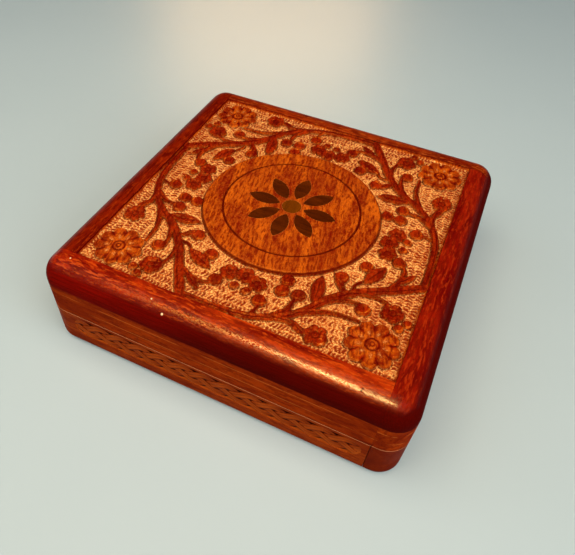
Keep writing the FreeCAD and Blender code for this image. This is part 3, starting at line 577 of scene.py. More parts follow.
def petal_outline(number, grown):
    """A pointed petal's outline, one of eight round the centre, grown by a margin."""
    start, tip, half_width = PETAL_START - grown, PETAL_REACH + grown, PETAL_HALF_WIDTH + grown
    turn = math.radians(360 / PETALS * number)
    half_chord = (tip - start) / 2
    radius = (half_chord ** 2 + half_width ** 2) / (2 * half_width)
    spread = math.asin(half_chord / radius)
    side = [(start + half_chord + radius * math.sin(t), radius * math.cos(t) - (radius - half_width))
            for t in np.linspace(-spread, spread, PETAL_STEPS)]
    outline = side + [(x, -y) for x, y in reversed(side[1:-1])]
    return [(x * math.cos(turn) - y * math.sin(turn), x * math.sin(turn) + y * math.cos(turn))
            for x, y in outline]


# Walls: copies of the CAD solids with their arrises eased, and the braid carved into the base.

def eased_copy(node, amount):
    """A copy of a CAD node's mesh with its sharp arrises taken off, as a maker does with sandpaper."""
    body = bmesh.new()
    body.from_mesh(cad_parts[node].data)
    bmesh.ops.remove_doubles(body, verts=body.verts, dist=WELD_DISTANCE)
    bmesh.ops.dissolve_limit(body, angle_limit=math.radians(FLAT_ANGLE), verts=body.verts, edges=body.edges)
    sharp = [e for e in body.edges if e.is_manifold and e.calc_face_angle() > math.radians(ARRIS_ANGLE)]
    bmesh.ops.bevel(body, geom=sharp, offset=amount * MM, segments=2, profile=0.5, affect="EDGES",
                    clamp_overlap=False)
    return finished_mesh(node + "_eased", body)


def evaluated(mesh, kind, **settings):
    """The mesh as one modifier leaves it."""
    work = bpy.data.objects.new("being_worked", mesh)
    bpy.context.scene.collection.objects.link(work)
    modifier = work.modifiers.new(kind, kind)
    for name, setting in settings.items():
        setattr(modifier, name, setting)
    found = bpy.data.meshes.new_from_object(work.evaluated_get(bpy.context.evaluated_depsgraph_get()))
    bpy.data.objects.remove(work)
    return found


def flat_shaded_faces(mesh):
    """Smooth shading on the rounds, with the large flats left flat and real corners sharp."""
    for name in ("custom_normal", "sharp_edge", "sharp_face"):
        if name in mesh.attributes:
            mesh.attributes.remove(mesh.attributes[name])
    mesh.shade_smooth()
    mesh.set_sharp_from_angle(angle=math.radians(SHARP_ANGLE))
    return evaluated(mesh, "WEIGHTED_NORMAL", mode="FACE_AREA", weight=100, keep_sharp=True)


def braid_relief(run, rise):
    """Depth of the braid along its band and up from its middle line; its cut lines, the painted shade in
    its pits, and wear.
    """
    depth = np.full_like(run, BRAID_PIT)
    gap = np.full_like(run, FAR)
    lines = np.zeros_like(run)
    rubbed = np.zeros_like(run)
    for strand in range(BRAID_STRANDS):
        phase = 2 * np.pi * ((run + BRAID_SHIFT) / BRAID_PERIOD + strand / BRAID_STRANDS)
        middle = BRAID_SWING * (np.sin(phase) - 0.1 * np.sin(3 * phase))
        lean = 2 * np.pi * BRAID_SWING / BRAID_PERIOD * np.cos(phase)
        side = (rise - middle) / np.sqrt(1 + lean ** 2) / BRAID_HALF_STRAND
        share = np.abs(side)
        scored = bell(side - 0.1, 0.16)
        gap = np.minimum(gap, (share - 1) * BRAID_HALF_STRAND)
        face = (STRAND_SINK - STRAND_DIP * np.sin(2 * phase) + STRAND_CROWN * share ** 4
                + STRAND_SCORE * scored)
        over = (share < 1) & (face < depth)
        depth = np.where(over, face, depth)
        lines = np.where(over, np.maximum(0.5 * scored, np.clip((share - 0.74) / 0.18, 0, 1)), lines)
        rubbed = np.where(over, (1 - share ** 2) * (0.6 + 0.4 * np.sin(2 * phase)), rubbed)
    depth = np.where(gap > 0, np.minimum(PIT_EDGE + gap, BRAID_PIT), depth)
    # In the pits the lines and the third mask are painted full: painted shade in place of the shadow inside
    # them.
    return depth, np.where(gap > 0, 1.0, lines), np.clip(4 * gap + 0.7, 0, 1), rubbed


def braid_cutter(length, middle_height, low_end, along, outward):
    """A closed block that takes the braid out of a wall: the relief inside, clear of the wall outside."""
    columns = int(length / BRAID_STEP)
    rows = int(2 * BRAID_HALF_BAND / BRAID_STEP)
    run = np.linspace(0, length, columns + 1)
    rise = np.linspace(-BRAID_HALF_BAND, BRAID_HALF_BAND, rows + 1)
    run, rise = np.meshgrid(run, rise)
    end = np.maximum(np.maximum(BRAID_HALF_BAND - run, run - length + BRAID_HALF_BAND), 0)
    inset = BRAID_HALF_BAND - np.hypot(end, rise)
    depth, lines, pits, rubbed = braid_relief(run, rise)
    depth = np.minimum(depth, inset * BAND_SLOPE)
    depth = np.where(inset < BRAID_STEP / 2, -CUTTER_PROUD, depth)
    lower_rim = (rise < 0) & (inset < LOWER_RIM)
    # Painted shade in the pits, kept off the slope of the braid's lower rim.
    pits = np.where(rise > 0, pits, pits * np.clip(2 * (inset - LOWER_RIM), 0, 1))
    # The braid's lower rim, whose slope faces up to the light, is painted as rubbed: a painted highlight.
    rubbed = np.where(lower_rim, 1.0, rubbed)
    lines = np.where(lower_rim, 0.0, lines)
    spot = np.array(low_end) + run[..., None] * np.array(along) - depth[..., None] * np.array(outward)
    spot[..., 2] += middle_height + rise
    body = bmesh.new()
    paint = body.verts.layers.float_color.new("carving")
    inner = [[body.verts.new(p * MM) for p in line] for line in spot]
    for r in range(rows + 1):
        for c in range(columns + 1):
            inner[r][c][paint] = (rubbed[r, c], lines[r, c], pits[r, c], 1.0)
    for r in range(rows):
        for c in range(columns):
            body.faces.new([inner[r][c], inner[r][c + 1], inner[r + 1][c + 1], inner[r + 1][c]])
    sides = [inner[0], [line[-1] for line in inner], inner[-1][::-1], [line[0] for line in inner][::-1]]
    clear = [body.verts.new(side[0].co + Vector(outward) * CUTTER_CLEAR * MM) for side in sides]
    for number, side in enumerate(sides):
        body.faces.new([*reversed(side), clear[number], clear[(number + 1) % len(sides)]])
    body.faces.new(clear)
    bmesh.ops.recalc_face_normals(body, faces=body.faces)
    return finished_mesh("braid_cutter", body)


def with_cut(mesh, cutter, outward):
    """The first mesh with the second one's volume taken away, left unpainted on its outer face."""
    paint = mesh.color_attributes.new("carving", "FLOAT_COLOR", "POINT")
    paint.data.foreach_set("color", UNCARVED * len(mesh.vertices))
    tool = bpy.data.objects.new("cutter", cutter)
    bpy.context.scene.collection.objects.link(tool)
    found = evaluated(mesh, "BOOLEAN", operation="DIFFERENCE", solver="EXACT", object=tool)
    bpy.data.objects.remove(tool)
    places = np.empty(3 * len(found.vertices), np.float32)
    found.vertices.foreach_get("co", places)
    reach = places.reshape(-1, 3) @ np.array(outward, np.float32)
    colours = np.empty(4 * len(found.vertices), np.float32)
    found.attributes["carving"].data.foreach_get("color", colours)
    colours.reshape(-1, 4)[reach > reach.max() - OUTER_SKIN * MM] = UNCARVED
    found.attributes["carving"].data.foreach_set("color", colours)
    return found


def braided_wall(node, corner, along, outward, length, middle_height):
    """A base wall with the braid carved along its outer face; corner is where the wall's run starts."""
    start = np.array(corner, float) + BRAID_START * np.array(along)
    cutter = braid_cutter(length - BRAID_START - BRAID_STOP, middle_height, start, along, outward)
    return flat_shaded_faces(with_cut(eased_copy(node, BASE_ARRIS), cutter, outward))


# Finishes: first the helpers that put shader nodes together.

def add(tree, kind, inputs=None, **settings):
    """Adds a shader node; each input takes a value or another node's output."""
    node = tree.nodes.new(kind)
    for name, value in settings.items():
        setattr(node, name, value)
    for name, value in (inputs or {}).items():
        if isinstance(value, bpy.types.NodeSocket):
            tree.links.new(value, node.inputs[name])
        else:
            node.inputs[name].default_value = value
    return node


def scaled(tree, vector, scale):
    """A vector stretched by a factor for each axis."""
    return add(tree, "ShaderNodeVectorMath", {0: vector, 1: scale}, operation="MULTIPLY").outputs[0]


def noise(tree, vector, scale=1.0, detail=3.0, roughness=0.55, distortion=0.0):
    """Soft noise from 0 to 1."""
    inputs = {"Vector": vector, "Scale": scale, "Detail": detail, "Roughness": roughness,
              "Distortion": distortion}
    return add(tree, "ShaderNodeTexNoise", inputs).outputs["Fac"]


def ranged(tree, value, low, high, to_low=0.0, to_high=1.0):
    """A value moved smoothly from one range into another."""
    inputs = {"Value": value, "From Min": low, "From Max": high, "To Min": to_low, "To Max": to_high}
    return add(tree, "ShaderNodeMapRange", inputs, interpolation_type="SMOOTHSTEP").outputs["Result"]


def blended(tree, share, first, second):
    """Two colours mixed by a share; each is a colour or another node's output."""
    node = add(tree, "ShaderNodeMix", data_type="RGBA")
    for place, value in ((0, share), (6, first), (7, second)):
        if isinstance(value, bpy.types.NodeSocket):
            tree.links.new(value, node.inputs[place])
        else:
            node.inputs[place].default_value = (*value, 1)
    return node.outputs[2]


def calc(tree, operation, first, second=0.0):
    """Simple arithmetic on two values."""
    return add(tree, "ShaderNodeMath", {0: first, 1: second}, operation=operation).outputs[0]


def stained(tree, colour, mask, strength, stain):
    """A colour with some of a stain over it where the mask is."""
    return blended(tree, calc(tree, "MULTIPLY", mask, strength), colour, stain)


def layered(tree, colour, masks, stains):
    """A colour with stains laid over it in turn; each has its mask's name, its strength and its colour."""
    for name, strength, stain in stains:
        colour = stained(tree, colour, masks[name], strength, stain)
    return colour


def by_name(*nodes):
    """The outputs of several nodes in one table."""
    return {name: socket for outputs in nodes for name, socket in outputs.items()}


def shade(colour, factor):
    """A colour made darker or lighter by one factor."""
    return tuple(factor * channel for channel in colour)


def axes_of(tree, vector):
    """A vector's parts along X, Y and Z."""
    return add(tree, "ShaderNodeSeparateXYZ", {0: vector}).outputs


def new_group(name, inputs, outputs):
    """An empty shader group with named sockets; every output is a plain value."""
    group = bpy.data.node_groups.new(name, "ShaderNodeTree")
    for socket, kind in inputs:
        group.interface.new_socket(socket, in_out="INPUT", socket_type=kind)
    for socket in outputs:
        group.interface.new_socket(socket, in_out="OUTPUT", socket_type="NodeSocketFloat")
    return group, add(group, "NodeGroupInput").outputs, add(group, "NodeGroupOutput").inputs


# The grain: stretch along and across, detail, roughness and distortion, then the range that shows.
GRAIN_FIELDS = {
    "Figure": (0.03, 0.16, 4.0, 0.6, 0.6, 0.32, 0.68),
    "Fibre": (0.07, 1.6, 5.0, 0.65, 0.0, 0.3, 0.7),
    "Flecks": (0.17, 0.66, 5.0, 0.7, 0.0, 0.46, 0.60),
    "Streaks": (0.25, 1.1, 3.0, 0.6, 0.0, 0.52, 0.64),
    "Pores": (0.5, 2.8, 2.0, 0.55, 0.0, 0.58, 0.70),
}


def make_grain_group():
    """Wood grain along the first axis, in millimetres: figure, fibre, flecks, streaks, pores and height."""
    group, given, out = new_group("wood_grain", [("Place", "NodeSocketVector")], (*GRAIN_FIELDS, "Height"))
    place = given["Place"]
    sway = noise(group, scaled(group, place, (0.012, 0.02, 0.02)), detail=2.0)
    shift = add(group, "ShaderNodeCombineXYZ", {"Y": calc(group, "MULTIPLY", sway, 9.0)}).outputs[0]
    swayed = add(group, "ShaderNodeVectorMath", {0: place, 1: shift}, operation="ADD").outputs[0]
    raw, found = {}, {}
    for name, (along, across, detail, roughness, distortion, low, high) in GRAIN_FIELDS.items():
        stretched = scaled(group, swayed, (along, across, across))
        raw[name] = noise(group, stretched, 1.0, detail, roughness, distortion)
        found[name] = ranged(group, raw[name], low, high)
    raised = calc(group, "MULTIPLY", raw["Fibre"], 0.5)
    sunk = calc(group, "MULTIPLY", found["Pores"], 0.7)
    found["Height"] = calc(group, "SUBTRACT", raised, sunk)
    for name, value in found.items():
        group.links.new(value, out[name])
    return group


def make_handling_group():
    """Hand wear: polish worn in soft patches, grime held in the corners, fine scuffs and specks."""
    group, given, out = new_group("handling", [("Place", "NodeSocketVector"), ("Reach", "NodeSocketFloat")],
                                  ("Worn", "Grime", "Scuffs", "Specks"))
    place = given["Place"]
    patches = noise(group, place, scale=0.06, detail=4.0, roughness=0.6)
    close = add(group, "ShaderNodeAmbientOcclusion", {"Distance": given["Reach"]}, samples=8).outputs["AO"]
    patchy = ranged(group, patches, 0.2, 0.6, 0.6, 1.0)
    scuffs = noise(group, scaled(group, place, (0.6, 0.9, 0.7)), scale=2.2, detail=6.0, roughness=0.75)
    specks = noise(group, place, scale=1.5, detail=3.0, roughness=0.7)
    found = {"Worn": ranged(group, patches, 0.4, 0.7),
             "Grime": calc(group, "MULTIPLY", ranged(group, close, 0.8, 0.3), patchy),
             "Scuffs": ranged(group, scuffs, 0.55, 0.75), "Specks": ranged(group, specks, 0.40, 0.62)}
    for name, value in found.items():
        group.links.new(value, out[name])
    return group


GRAIN = make_grain_group()
HANDLING = make_handling_group()
GRAIN_TURNS = {"x": 0, "y": -90, "slant": -102}


def start_material(name):
    """A new material: its tree, its shader, the piece's own coordinates in millimetres, and its normal."""
    material = bpy.data.materials.new(name)
    material.use_nodes = True
    tree = material.node_tree
    spots = add(tree, "ShaderNodeTexCoord").outputs
    place = scaled(tree, spots["Object"], (1 / MM, 1 / MM, 1 / MM))
    return material, tree, tree.nodes["Principled BSDF"], place, spots["Normal"]


def grain_nodes(tree, place, along):
    """The grain group's outputs, with the grain turned to run along the given axis."""
    turn = (0, 0, math.radians(GRAIN_TURNS[along]))
    turned = add(tree, "ShaderNodeVectorRotate", {"Vector": place, "Rotation": turn},
                 rotation_type="EULER_XYZ").outputs[0]
    return add(tree, "ShaderNodeGroup", {"Place": turned}, node_tree=GRAIN).outputs


def handling_nodes(tree, place, reach=2.5):
    """The handling group's outputs, with grime that reaches so many millimetres out of a corner."""
    return add(tree, "ShaderNodeGroup", {"Place": place, "Reach": reach * MM}, node_tree=HANDLING).outputs


def carving_masks(tree):
    """What is painted on a carving: red stain, rubbing and painted highlight, green cut lines and painted
    shade, blue strokes or pits' painted shade.
    """
    paint = add(tree, "ShaderNodeAttribute", attribute_name="carving").outputs["Color"]
    return add(tree, "ShaderNodeSeparateColor", {0: paint}).outputs


def near_spot(tree, place, spot, radius):
    """One within a small round spot on the piece, in millimetres, nothing outside it."""
    away = add(tree, "ShaderNodeVectorMath", {0: place, 1: spot}, operation="DISTANCE").outputs["Value"]
    return ranged(tree, away, radius + SPOT_EDGE, radius - SPOT_EDGE)


def surfaced(tree, shader, colour, rough, height, strength, distance):
    """Gives the shader its colour, its roughness and a bump whose distance is in millimetres."""
    bump = add(tree, "ShaderNodeBump", {"Height": height, "Strength": strength, "Distance": distance * MM})
    given = {"Base Color": colour, "Roughness": rough, "Normal": bump.outputs["Normal"]}
    for name, value in given.items():
        tree.links.new(value, shader.inputs[name])


def oiled(shader, level, tint):
    """A thin oil or shellac finish over stained wood, which warms what the wood reflects."""
    shader.inputs["Specular IOR Level"].default_value = level
    shader.inputs["Specular Tint"].default_value = (*tint, 1)


# Tints of the oil and shellac, and the colours that each wood is mixed from, painted highlights and shade
# among them.
OIL_TINT = (1.0, 0.42, 0.12)
SHELLAC_TINT = (1.0, 0.56, 0.16)
PANEL_OIL_TINT = (1.0, 0.50, 0.12)
WORN_AND_LIT_ARRIS = (0.62, 0.24, 0.10)
# Colours of the rounded edge, darker than the top.
EDGE_RED = (0.15, 0.0012, 0.0003)
EDGE_DARK = (0.080, 0.0004, 0.0001)
# Painted shade for the rounded edge, growing towards the right.
RAMP_SHADE_DARK = (0.030, 0.0002, 0.0002)
FACE_DARK = (0.17, 0.0105, 0.0004)
FACE_LIGHT = (0.30, 0.029, 0.0010)
FACE_LINES = (0.52, 0.12, 0.018)
# Pale chips, and one painted glint, share this colour.
PALE_CHIP_AND_GLINT = (0.80, 0.50, 0.26)
DARK_NICK = (0.03, 0.0012, 0.0003)
GROUND_DARK = (0.48, 0.058, 0.0028)
GROUND_PALE = (1.0, 0.530, 0.150)
PLAIN_DARK = (0.17, 0.005, 0.0001)
PLAIN_LIGHT = (0.46, 0.072, 0.0020)
MOTIF_DARK = (0.115, 0.0003, 0.0001)
MOTIF_LIGHT = (0.29, 0.0150, 0.0005)
PANEL_LINES_AND_SHADE = (0.075, 0.0003, 0.0001)
METAL_GRIME = (0.05, 0.025, 0.008)
FLOOR_DULL = (0.352, 0.402, 0.426)
FLOOR_PALE = (0.388, 0.437, 0.462)

# Stains laid over a wood in turn: the mask, the strength, and the colour or its share of the dark one.
OILED_SHADES = [("Fibre", 0.35, 0.6), ("Flecks", 0.45, 0.5), ("Pores", 0.6, 0.3), ("Grime", 0.6, 0.2)]
BASE_STAINS = [
    ("Fibre", 0.45, (0.13, 0.0085, 0.0008)),
    ("Flecks", 0.6, (0.11, 0.0060, 0.0006)),
    ("Grime", 0.6, (0.03, 0.0020, 0.0004)),
    # Red: rubbing on the strands, and a painted highlight on the braid's lower rim.
    ("Red", 0.6, (0.42, 0.072, 0.0075)),
    # Green: the braid's cut lines, and painted shade in its pits. Blue: near-black painted shade in the
    # pits.
    ("Green", 0.85, (0.030, 0.0020, 0.0004)),
    ("Blue", 0.95, (0.004, 0.0006, 0.0002)),
]
FACE_STAINS = [("Flecks", 0.6, (0.10, 0.0050, 0.0002))]
BORDER_STAINS = [("Pores", 0.45, (0.05, 0.0015, 0.0003)), ("Grime", 0.55, (0.04, 0.0016, 0.0003))]
GROUND_STAINS = [("Worn", 0.45, (0.40, 0.062, 0.0036)), ("Blue", 0.95, (0.17, 0.0040, 0.0001))]
PLAIN_STAINS = [("Specks", 0.25, (0.60, 0.130, 0.0110)), ("Flecks", 0.85, (0.130, 0.0018, 0.0001))]
MOTIF_STAINS = [("Streaks", 0.4, (0.34, 0.028, 0.0012)), ("Flecks", 0.75, (0.075, 0.0007, 0.0001))]
PANEL_STAINS = [("Pores", 0.75, (0.10, 0.0050, 0.0003)), ("Grime", 0.4, (0.08, 0.0040, 0.0003))]

# Places on the lid walls, in millimetres: scribed lines, dark edge, a ramp of painted sheen and shade, pale
# chips with one painted glint, and nicks.
SCRIBED_LEVELS = (25.6, 31.2)
EDGE_FOOT = LID_TOP - 10.2
SHEEN_RAMP_START, SHEEN_RAMP_END = -60.0, 15.0
SPOT_EDGE = 0.15
# Two pale chips; the last spot, on the left corner's joint, is a painted glint.
CHIPS_AND_GLINT = [((-19.6, -72.9, 41.9), 0.45), ((-25.8, -69.7, 43.7), 0.3), ((-64.0, -67.1, 44.3), 0.3)]
NICKS = [((55.0, -71.1, 43.1), 0.35), ((55.2, -70.4, 43.5), 0.3)]


def plain_wood(name, along, dark, light, rough, gloss=0.2):
    """Oiled wood with streaky figure, short flecks, dark pores and grime in its corners."""
    material, tree, shader, place, _ = start_material(name)
    masks = by_name(grain_nodes(tree, place, along), handling_nodes(tree, place))
    stains = [(mask, strength, shade(dark, factor)) for mask, strength, factor in OILED_SHADES]
    colour = layered(tree, blended(tree, masks["Figure"], dark, light), masks, stains)
    oiled(shader, gloss, OIL_TINT)
    worn = ranged(tree, masks["Worn"], 0, 1, rough + 0.1, rough - 0.08)
    surfaced(tree, shader, colour, worn, masks["Height"], 0.4, 0.06)
    return material


def base_wood(name, along, dark, light):
    """Base walls: brown stain, dark cut lines, rubbed strands, painted shade in pits, painted highlights on
    rims.
    """
    material, tree, shader, place, normal = start_material(name)
    masks = by_name(grain_nodes(tree, place, along), handling_nodes(tree, place), carving_masks(tree))
    height, facing = axes_of(tree, place)["Z"], axes_of(tree, normal)["Z"]
    colour = layered(tree, blended(tree, masks["Figure"], dark, light), masks, BASE_STAINS)
    # The top arris where it faces up: painted lighter, partly wear and partly a painted highlight.
    eased = calc(tree, "MULTIPLY", ranged(tree, facing, 0.2, 0.5), ranged(tree, facing, 0.95, 0.8))
    eased = calc(tree, "MULTIPLY", eased, ranged(tree, height, BASE_TOP - 1.0, BASE_TOP - 0.5))
    colour = stained(tree, colour, eased, 0.7, WORN_AND_LIT_ARRIS)
    oiled(shader, 0.008, OIL_TINT)
    worn = ranged(tree, masks["Worn"], 0, 1, 0.55, 0.4)
    surfaced(tree, shader, colour, worn, masks["Height"], 0.5, 0.08)
    return material


def border_wood(name, along, dark, light, streak, shine=0.3, chips_and_glint=(), nicks=()):
    """Lid walls: flecked shellac on top, darker down the rounded edge, thin on the upright faces, painted
    sheen and shade to the right.
    """
    material, tree, shader, place, normal = start_material(name)
    masks = by_name(grain_nodes(tree, place, along), handling_nodes(tree, place))
    axes, facing = axes_of(tree, place), axes_of(tree, normal)["Z"]
    # A ramp from left to right along X that carries painted light: painted sheen on the top, painted shade
    # on the edge.
    sheen_and_shade_ramp = ranged(tree, axes["X"], SHEEN_RAMP_START, SHEEN_RAMP_END)

    top = blended(tree, ranged(tree, masks["Figure"], 0.2, 0.8), dark, light)
    top = layered(tree, top, masks, [("Worn", 0.4, shade(light, 1.2)), ("Specks", 0.08, streak),
                                     ("Flecks", 0.85, shade(dark, 0.8)), ("Streaks", 0.7, streak)])
    # Painted sheen on the top, growing towards the right.
    top = stained(tree, top, calc(tree, "MULTIPLY", sheen_and_shade_ramp, masks["Figure"]), 0.35 * shine, streak)
    # Painted shade on the rounded edge, growing towards the right.
    round_edge_colour = stained(tree, blended(tree, masks["Fibre"], EDGE_RED, EDGE_DARK), sheen_and_shade_ramp, 0.75, RAMP_SHADE_DARK)
    face = layered(tree, blended(tree, masks["Figure"], FACE_DARK, FACE_LIGHT), masks, FACE_STAINS)

    ragged = calc(tree, "MULTIPLY", masks["Flecks"], 0.05)
    up = ranged(tree, calc(tree, "ADD", facing, ragged), 0.70, 0.93)
    low = ranged(tree, axes["Z"], EDGE_FOOT + 0.5, EDGE_FOOT)
    # Below the top, where the surface turns down, the rounded edge takes the darker edge colour.
    colour = blended(tree, low, blended(tree, up, round_edge_colour, top), face)
    broken = ranged(tree, masks["Figure"], 0.2, 0.7)
    for level in SCRIBED_LEVELS:
        near = calc(tree, "ABSOLUTE", calc(tree, "SUBTRACT", axes["Z"], level))
        line = calc(tree, "MULTIPLY", ranged(tree, near, 0.32, 0.1), broken)
        colour = stained(tree, colour, line, 0.55, FACE_LINES)
    colour = layered(tree, colour, masks, BORDER_STAINS)
    polished = ranged(tree, facing, 0.62, 0.82)
    # Pale chips and one painted glint.
    for spot, radius in chips_and_glint:
        colour = stained(tree, colour, near_spot(tree, place, spot, radius), 0.9, PALE_CHIP_AND_GLINT)
    for spot, radius in nicks:
        nick = near_spot(tree, place, spot, radius)
        colour = stained(tree, colour, nick, 0.9, DARK_NICK)
        polished = calc(tree, "MULTIPLY", polished, calc(tree, "SUBTRACT", 1.0, nick))

    peel = noise(tree, place, scale=1.9, detail=2.0, roughness=0.7)
    coat = calc(tree, "MULTIPLY", polished, ranged(tree, facing, 0.96, 0.995, 1.0, 0.3))
    coat = calc(tree, "MULTIPLY", coat, shine)
    coat = calc(tree, "MULTIPLY", ranged(tree, peel, 0.42, 0.58), coat)
    tree.links.new(coat, shader.inputs["Coat Weight"])
    shader.inputs["Coat Roughness"].default_value = 0.23
    shader.inputs["Coat IOR"].default_value = 1.5
    oiled(shader, 0.04, SHELLAC_TINT)
    rough = calc(tree, "SUBTRACT", 0.9, calc(tree, "MULTIPLY", polished, 0.5))
    surfaced(tree, shader, colour, rough, peel, 0.5, 0.1)
    return material


def carved_wood(name):
    """The carved panel: pale stippled ground, red-brown motifs, an orange-brown flecked medallion."""
    material, tree, shader, place, _ = start_material(name)
    grain = grain_nodes(tree, scaled(tree, place, (1.5, 1.5, 1.5)), "slant")
    masks = by_name(grain, handling_nodes(tree, place, 1.5), carving_masks(tree))
    ground = layered(tree, blended(tree, masks["Specks"], GROUND_DARK, GROUND_PALE), masks, GROUND_STAINS)
    plain = layered(tree, blended(tree, masks["Figure"], PLAIN_DARK, PLAIN_LIGHT), masks, PLAIN_STAINS)
    motif = layered(tree, blended(tree, masks["Figure"], MOTIF_DARK, MOTIF_LIGHT), masks, MOTIF_STAINS)
    colour = blended(tree, ranged(tree, masks["Red"], 0.1, 0.4), ground, plain)
    colour = blended(tree, ranged(tree, masks["Red"], 0.5, 0.72), colour, motif)
    # Cut lines, and the painted shade round motifs and medallion, from the green mask.
    colour = stained(tree, colour, ranged(tree, masks["Green"], 0.3, 0.85), 0.9, PANEL_LINES_AND_SHADE)
    colour = layered(tree, colour, masks, PANEL_STAINS)
    oiled(shader, 0.28, PANEL_OIL_TINT)
    worn = ranged(tree, masks["Worn"], 0, 1, 0.36, 0.22)
    surfaced(tree, shader, colour, worn, calc(tree, "ADD", masks["Height"], masks["Specks"]), 0.4, 0.1)
    return material


def metal(name, bright, dull, rough):
    """Old metal: rubbed bright in patches, dull and brown in the corners, finely scratched."""
    material, tree, shader, place, _ = start_material(name)
    wear = handling_nodes(tree, place, 1.2)
    colour = stained(tree, blended(tree, wear["Worn"], dull, bright), wear["Grime"], 0.85, METAL_GRIME)
    worn = calc(tree, "ADD", ranged(tree, wear["Worn"], 0, 1, rough + 0.14, rough),
                calc(tree, "MULTIPLY", wear["Scuffs"], 0.15))
    shader.inputs["Metallic"].default_value = 1.0
    scratches = noise(tree, scaled(tree, place, (3.0, 0.5, 0.5)), detail=5.0, roughness=0.7)
    surfaced(tree, shader, colour, worn, scratches, 0.12, 0.03)
    return material


def pale_floor(name):
    """Pale table top with a slight mottle."""
    material, tree, shader, place, _ = start_material(name)
    grit = noise(tree, place, scale=0.9)
    colour = blended(tree, noise(tree, place, scale=0.006), FLOOR_DULL, FLOOR_PALE)
    surfaced(tree, shader, colour, ranged(tree, grit, 0.3, 0.7, 0.30, 0.38), grit, 0.1, 0.1)
    return material


FINISHES = {
    "carved_wood": carved_wood("carved_wood_finish"),
    "border_front": border_wood("border_wood_front", "x", dark=(0.118, 0.0003, 0.0001),
                                light=(0.27, 0.0105, 0.0004), streak=(0.47, 0.0500, 0.0030), shine=1.0,
                                chips_and_glint=CHIPS_AND_GLINT, nicks=NICKS),
    "border_back": border_wood("border_wood_back", "x", dark=(0.095, 0.0016, 0.0001),
                               light=(0.21, 0.0140, 0.0006), streak=(0.37, 0.0600, 0.0070)),
    "border_left": border_wood("border_wood_left", "y", dark=(0.09, 0.0012, 0.0001),
                               light=(0.155, 0.0060, 0.0002), streak=(0.26, 0.0210, 0.0010)),
    "border_right": border_wood("border_wood_right", "y", dark=(0.096, 0.0001, 0.0001),
                                light=(0.168, 0.0012, 0.0001), streak=(0.30, 0.0190, 0.0020), shine=0.8),
    "base_x": base_wood("base_wood_across", "x", dark=(0.20, 0.019, 0.0014), light=(0.33, 0.046, 0.0045)),
    "base_y": base_wood("base_wood_along", "y", dark=(0.092, 0.0055, 0.0003),
                        light=(0.165, 0.0145, 0.0008)),
    "inner_wood": plain_wood("inner_wood_finish", "x", dark=(0.26, 0.070, 0.016),
                             light=(0.42, 0.150, 0.044), rough=0.6),
    "board_wood": plain_wood("board_wood_finish", "y", dark=(0.30, 0.105, 0.030),
                             light=(0.47, 0.205, 0.075), rough=0.65),
    "dark_inlay": plain_wood("dark_inlay_finish", "x", dark=(0.052, 0.006, 0.0002),
                             light=(0.088, 0.012, 0.0004), rough=0.45, gloss=0.1),
    "olive_inlay": plain_wood("olive_inlay_finish", "y", dark=(0.11, 0.020, 0.0002),
                              light=(0.15, 0.032, 0.0004), rough=0.45, gloss=0.1),
    "brass": metal("old_brass", bright=(0.70, 0.46, 0.16), dull=(0.36, 0.21, 0.06), rough=0.28),
    "steel": metal("old_steel", bright=(0.55, 0.54, 0.52), dull=(0.28, 0.26, 0.24), rough=0.38),
}


def make_box():
    """Every piece of the box: the carved and eased ones first, then finishes for the nodes that stay."""
    shown("carved_panel", panel_mesh(), FINISHES["carved_wood"], "lid", "carved_wood", "lid_panel")
    for side in ("front", "right", "back", "left"):
        node = f"lid_{side}_wall"
        mesh = flat_shaded_faces(eased_copy(node, LID_ARRIS))
        shown(f"{side}_lid_wall", mesh, FINISHES[f"border_{side}"], "lid", "border_wood", node)
    left, front, right, back = BOX_LOW.x, BOX_LOW.y, BOX_HIGH.x, BOX_HIGH.y
    walls = [
        ("braided_slider", "front_slider", "slider", "base_x", (left, front, 0), (1, 0, 0), (0, -1, 0),
         PANEL_RIGHT - left, BRAID_MIDDLE),
        ("braided_right_wall", "base_right_wall", "base", "base_y", (right, front, 0), (0, 1, 0), (1, 0, 0),
         PANEL_BACK - front, BRAID_MIDDLE),
        ("braided_back_wall", "base_back_wall", "base", "base_x", (right, back, 0), (-1, 0, 0), (0, 1, 0),
         right - PANEL_LEFT, BACK_BRAID_MIDDLE),
        ("braided_left_wall", "base_left_wall", "base", "base_y", (left, back, 0), (0, -1, 0), (-1, 0, 0),
         back - PANEL_FRONT, BRAID_MIDDLE),
    ]
    for name, node, body, finish, corner, along, outward, length, height in walls:
        mesh = braided_wall(node, corner, along, outward, length, height)
        shown(name, mesh, FINISHES[finish], body, "base_wood", node)
    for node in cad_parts.values():
        if not node.hide_render:
            for number, old in enumerate(node.data.materials):
                node.data.materials[number] = FINISHES[old.name.split(".")[0]]


# The studio, in metres and watts: camera, floor, room and lights.

FLOOR_HALF = 3.0
ROOM_TINT = (0.95, 1.0, 0.97)
ROOM_STRENGTH = 0.06
BACKDROP_STRENGTH = 0.12
MIRRORED_SHARE = 0.2
WARM = (1.0, 0.84, 0.58)
COOL = (0.92, 1.0, 0.98)
GOLD = (1.0, 0.62, 0.20)
AMBER = (1.0, 0.36, 0.03)
PEACH = (1.0, 0.62, 0.30)


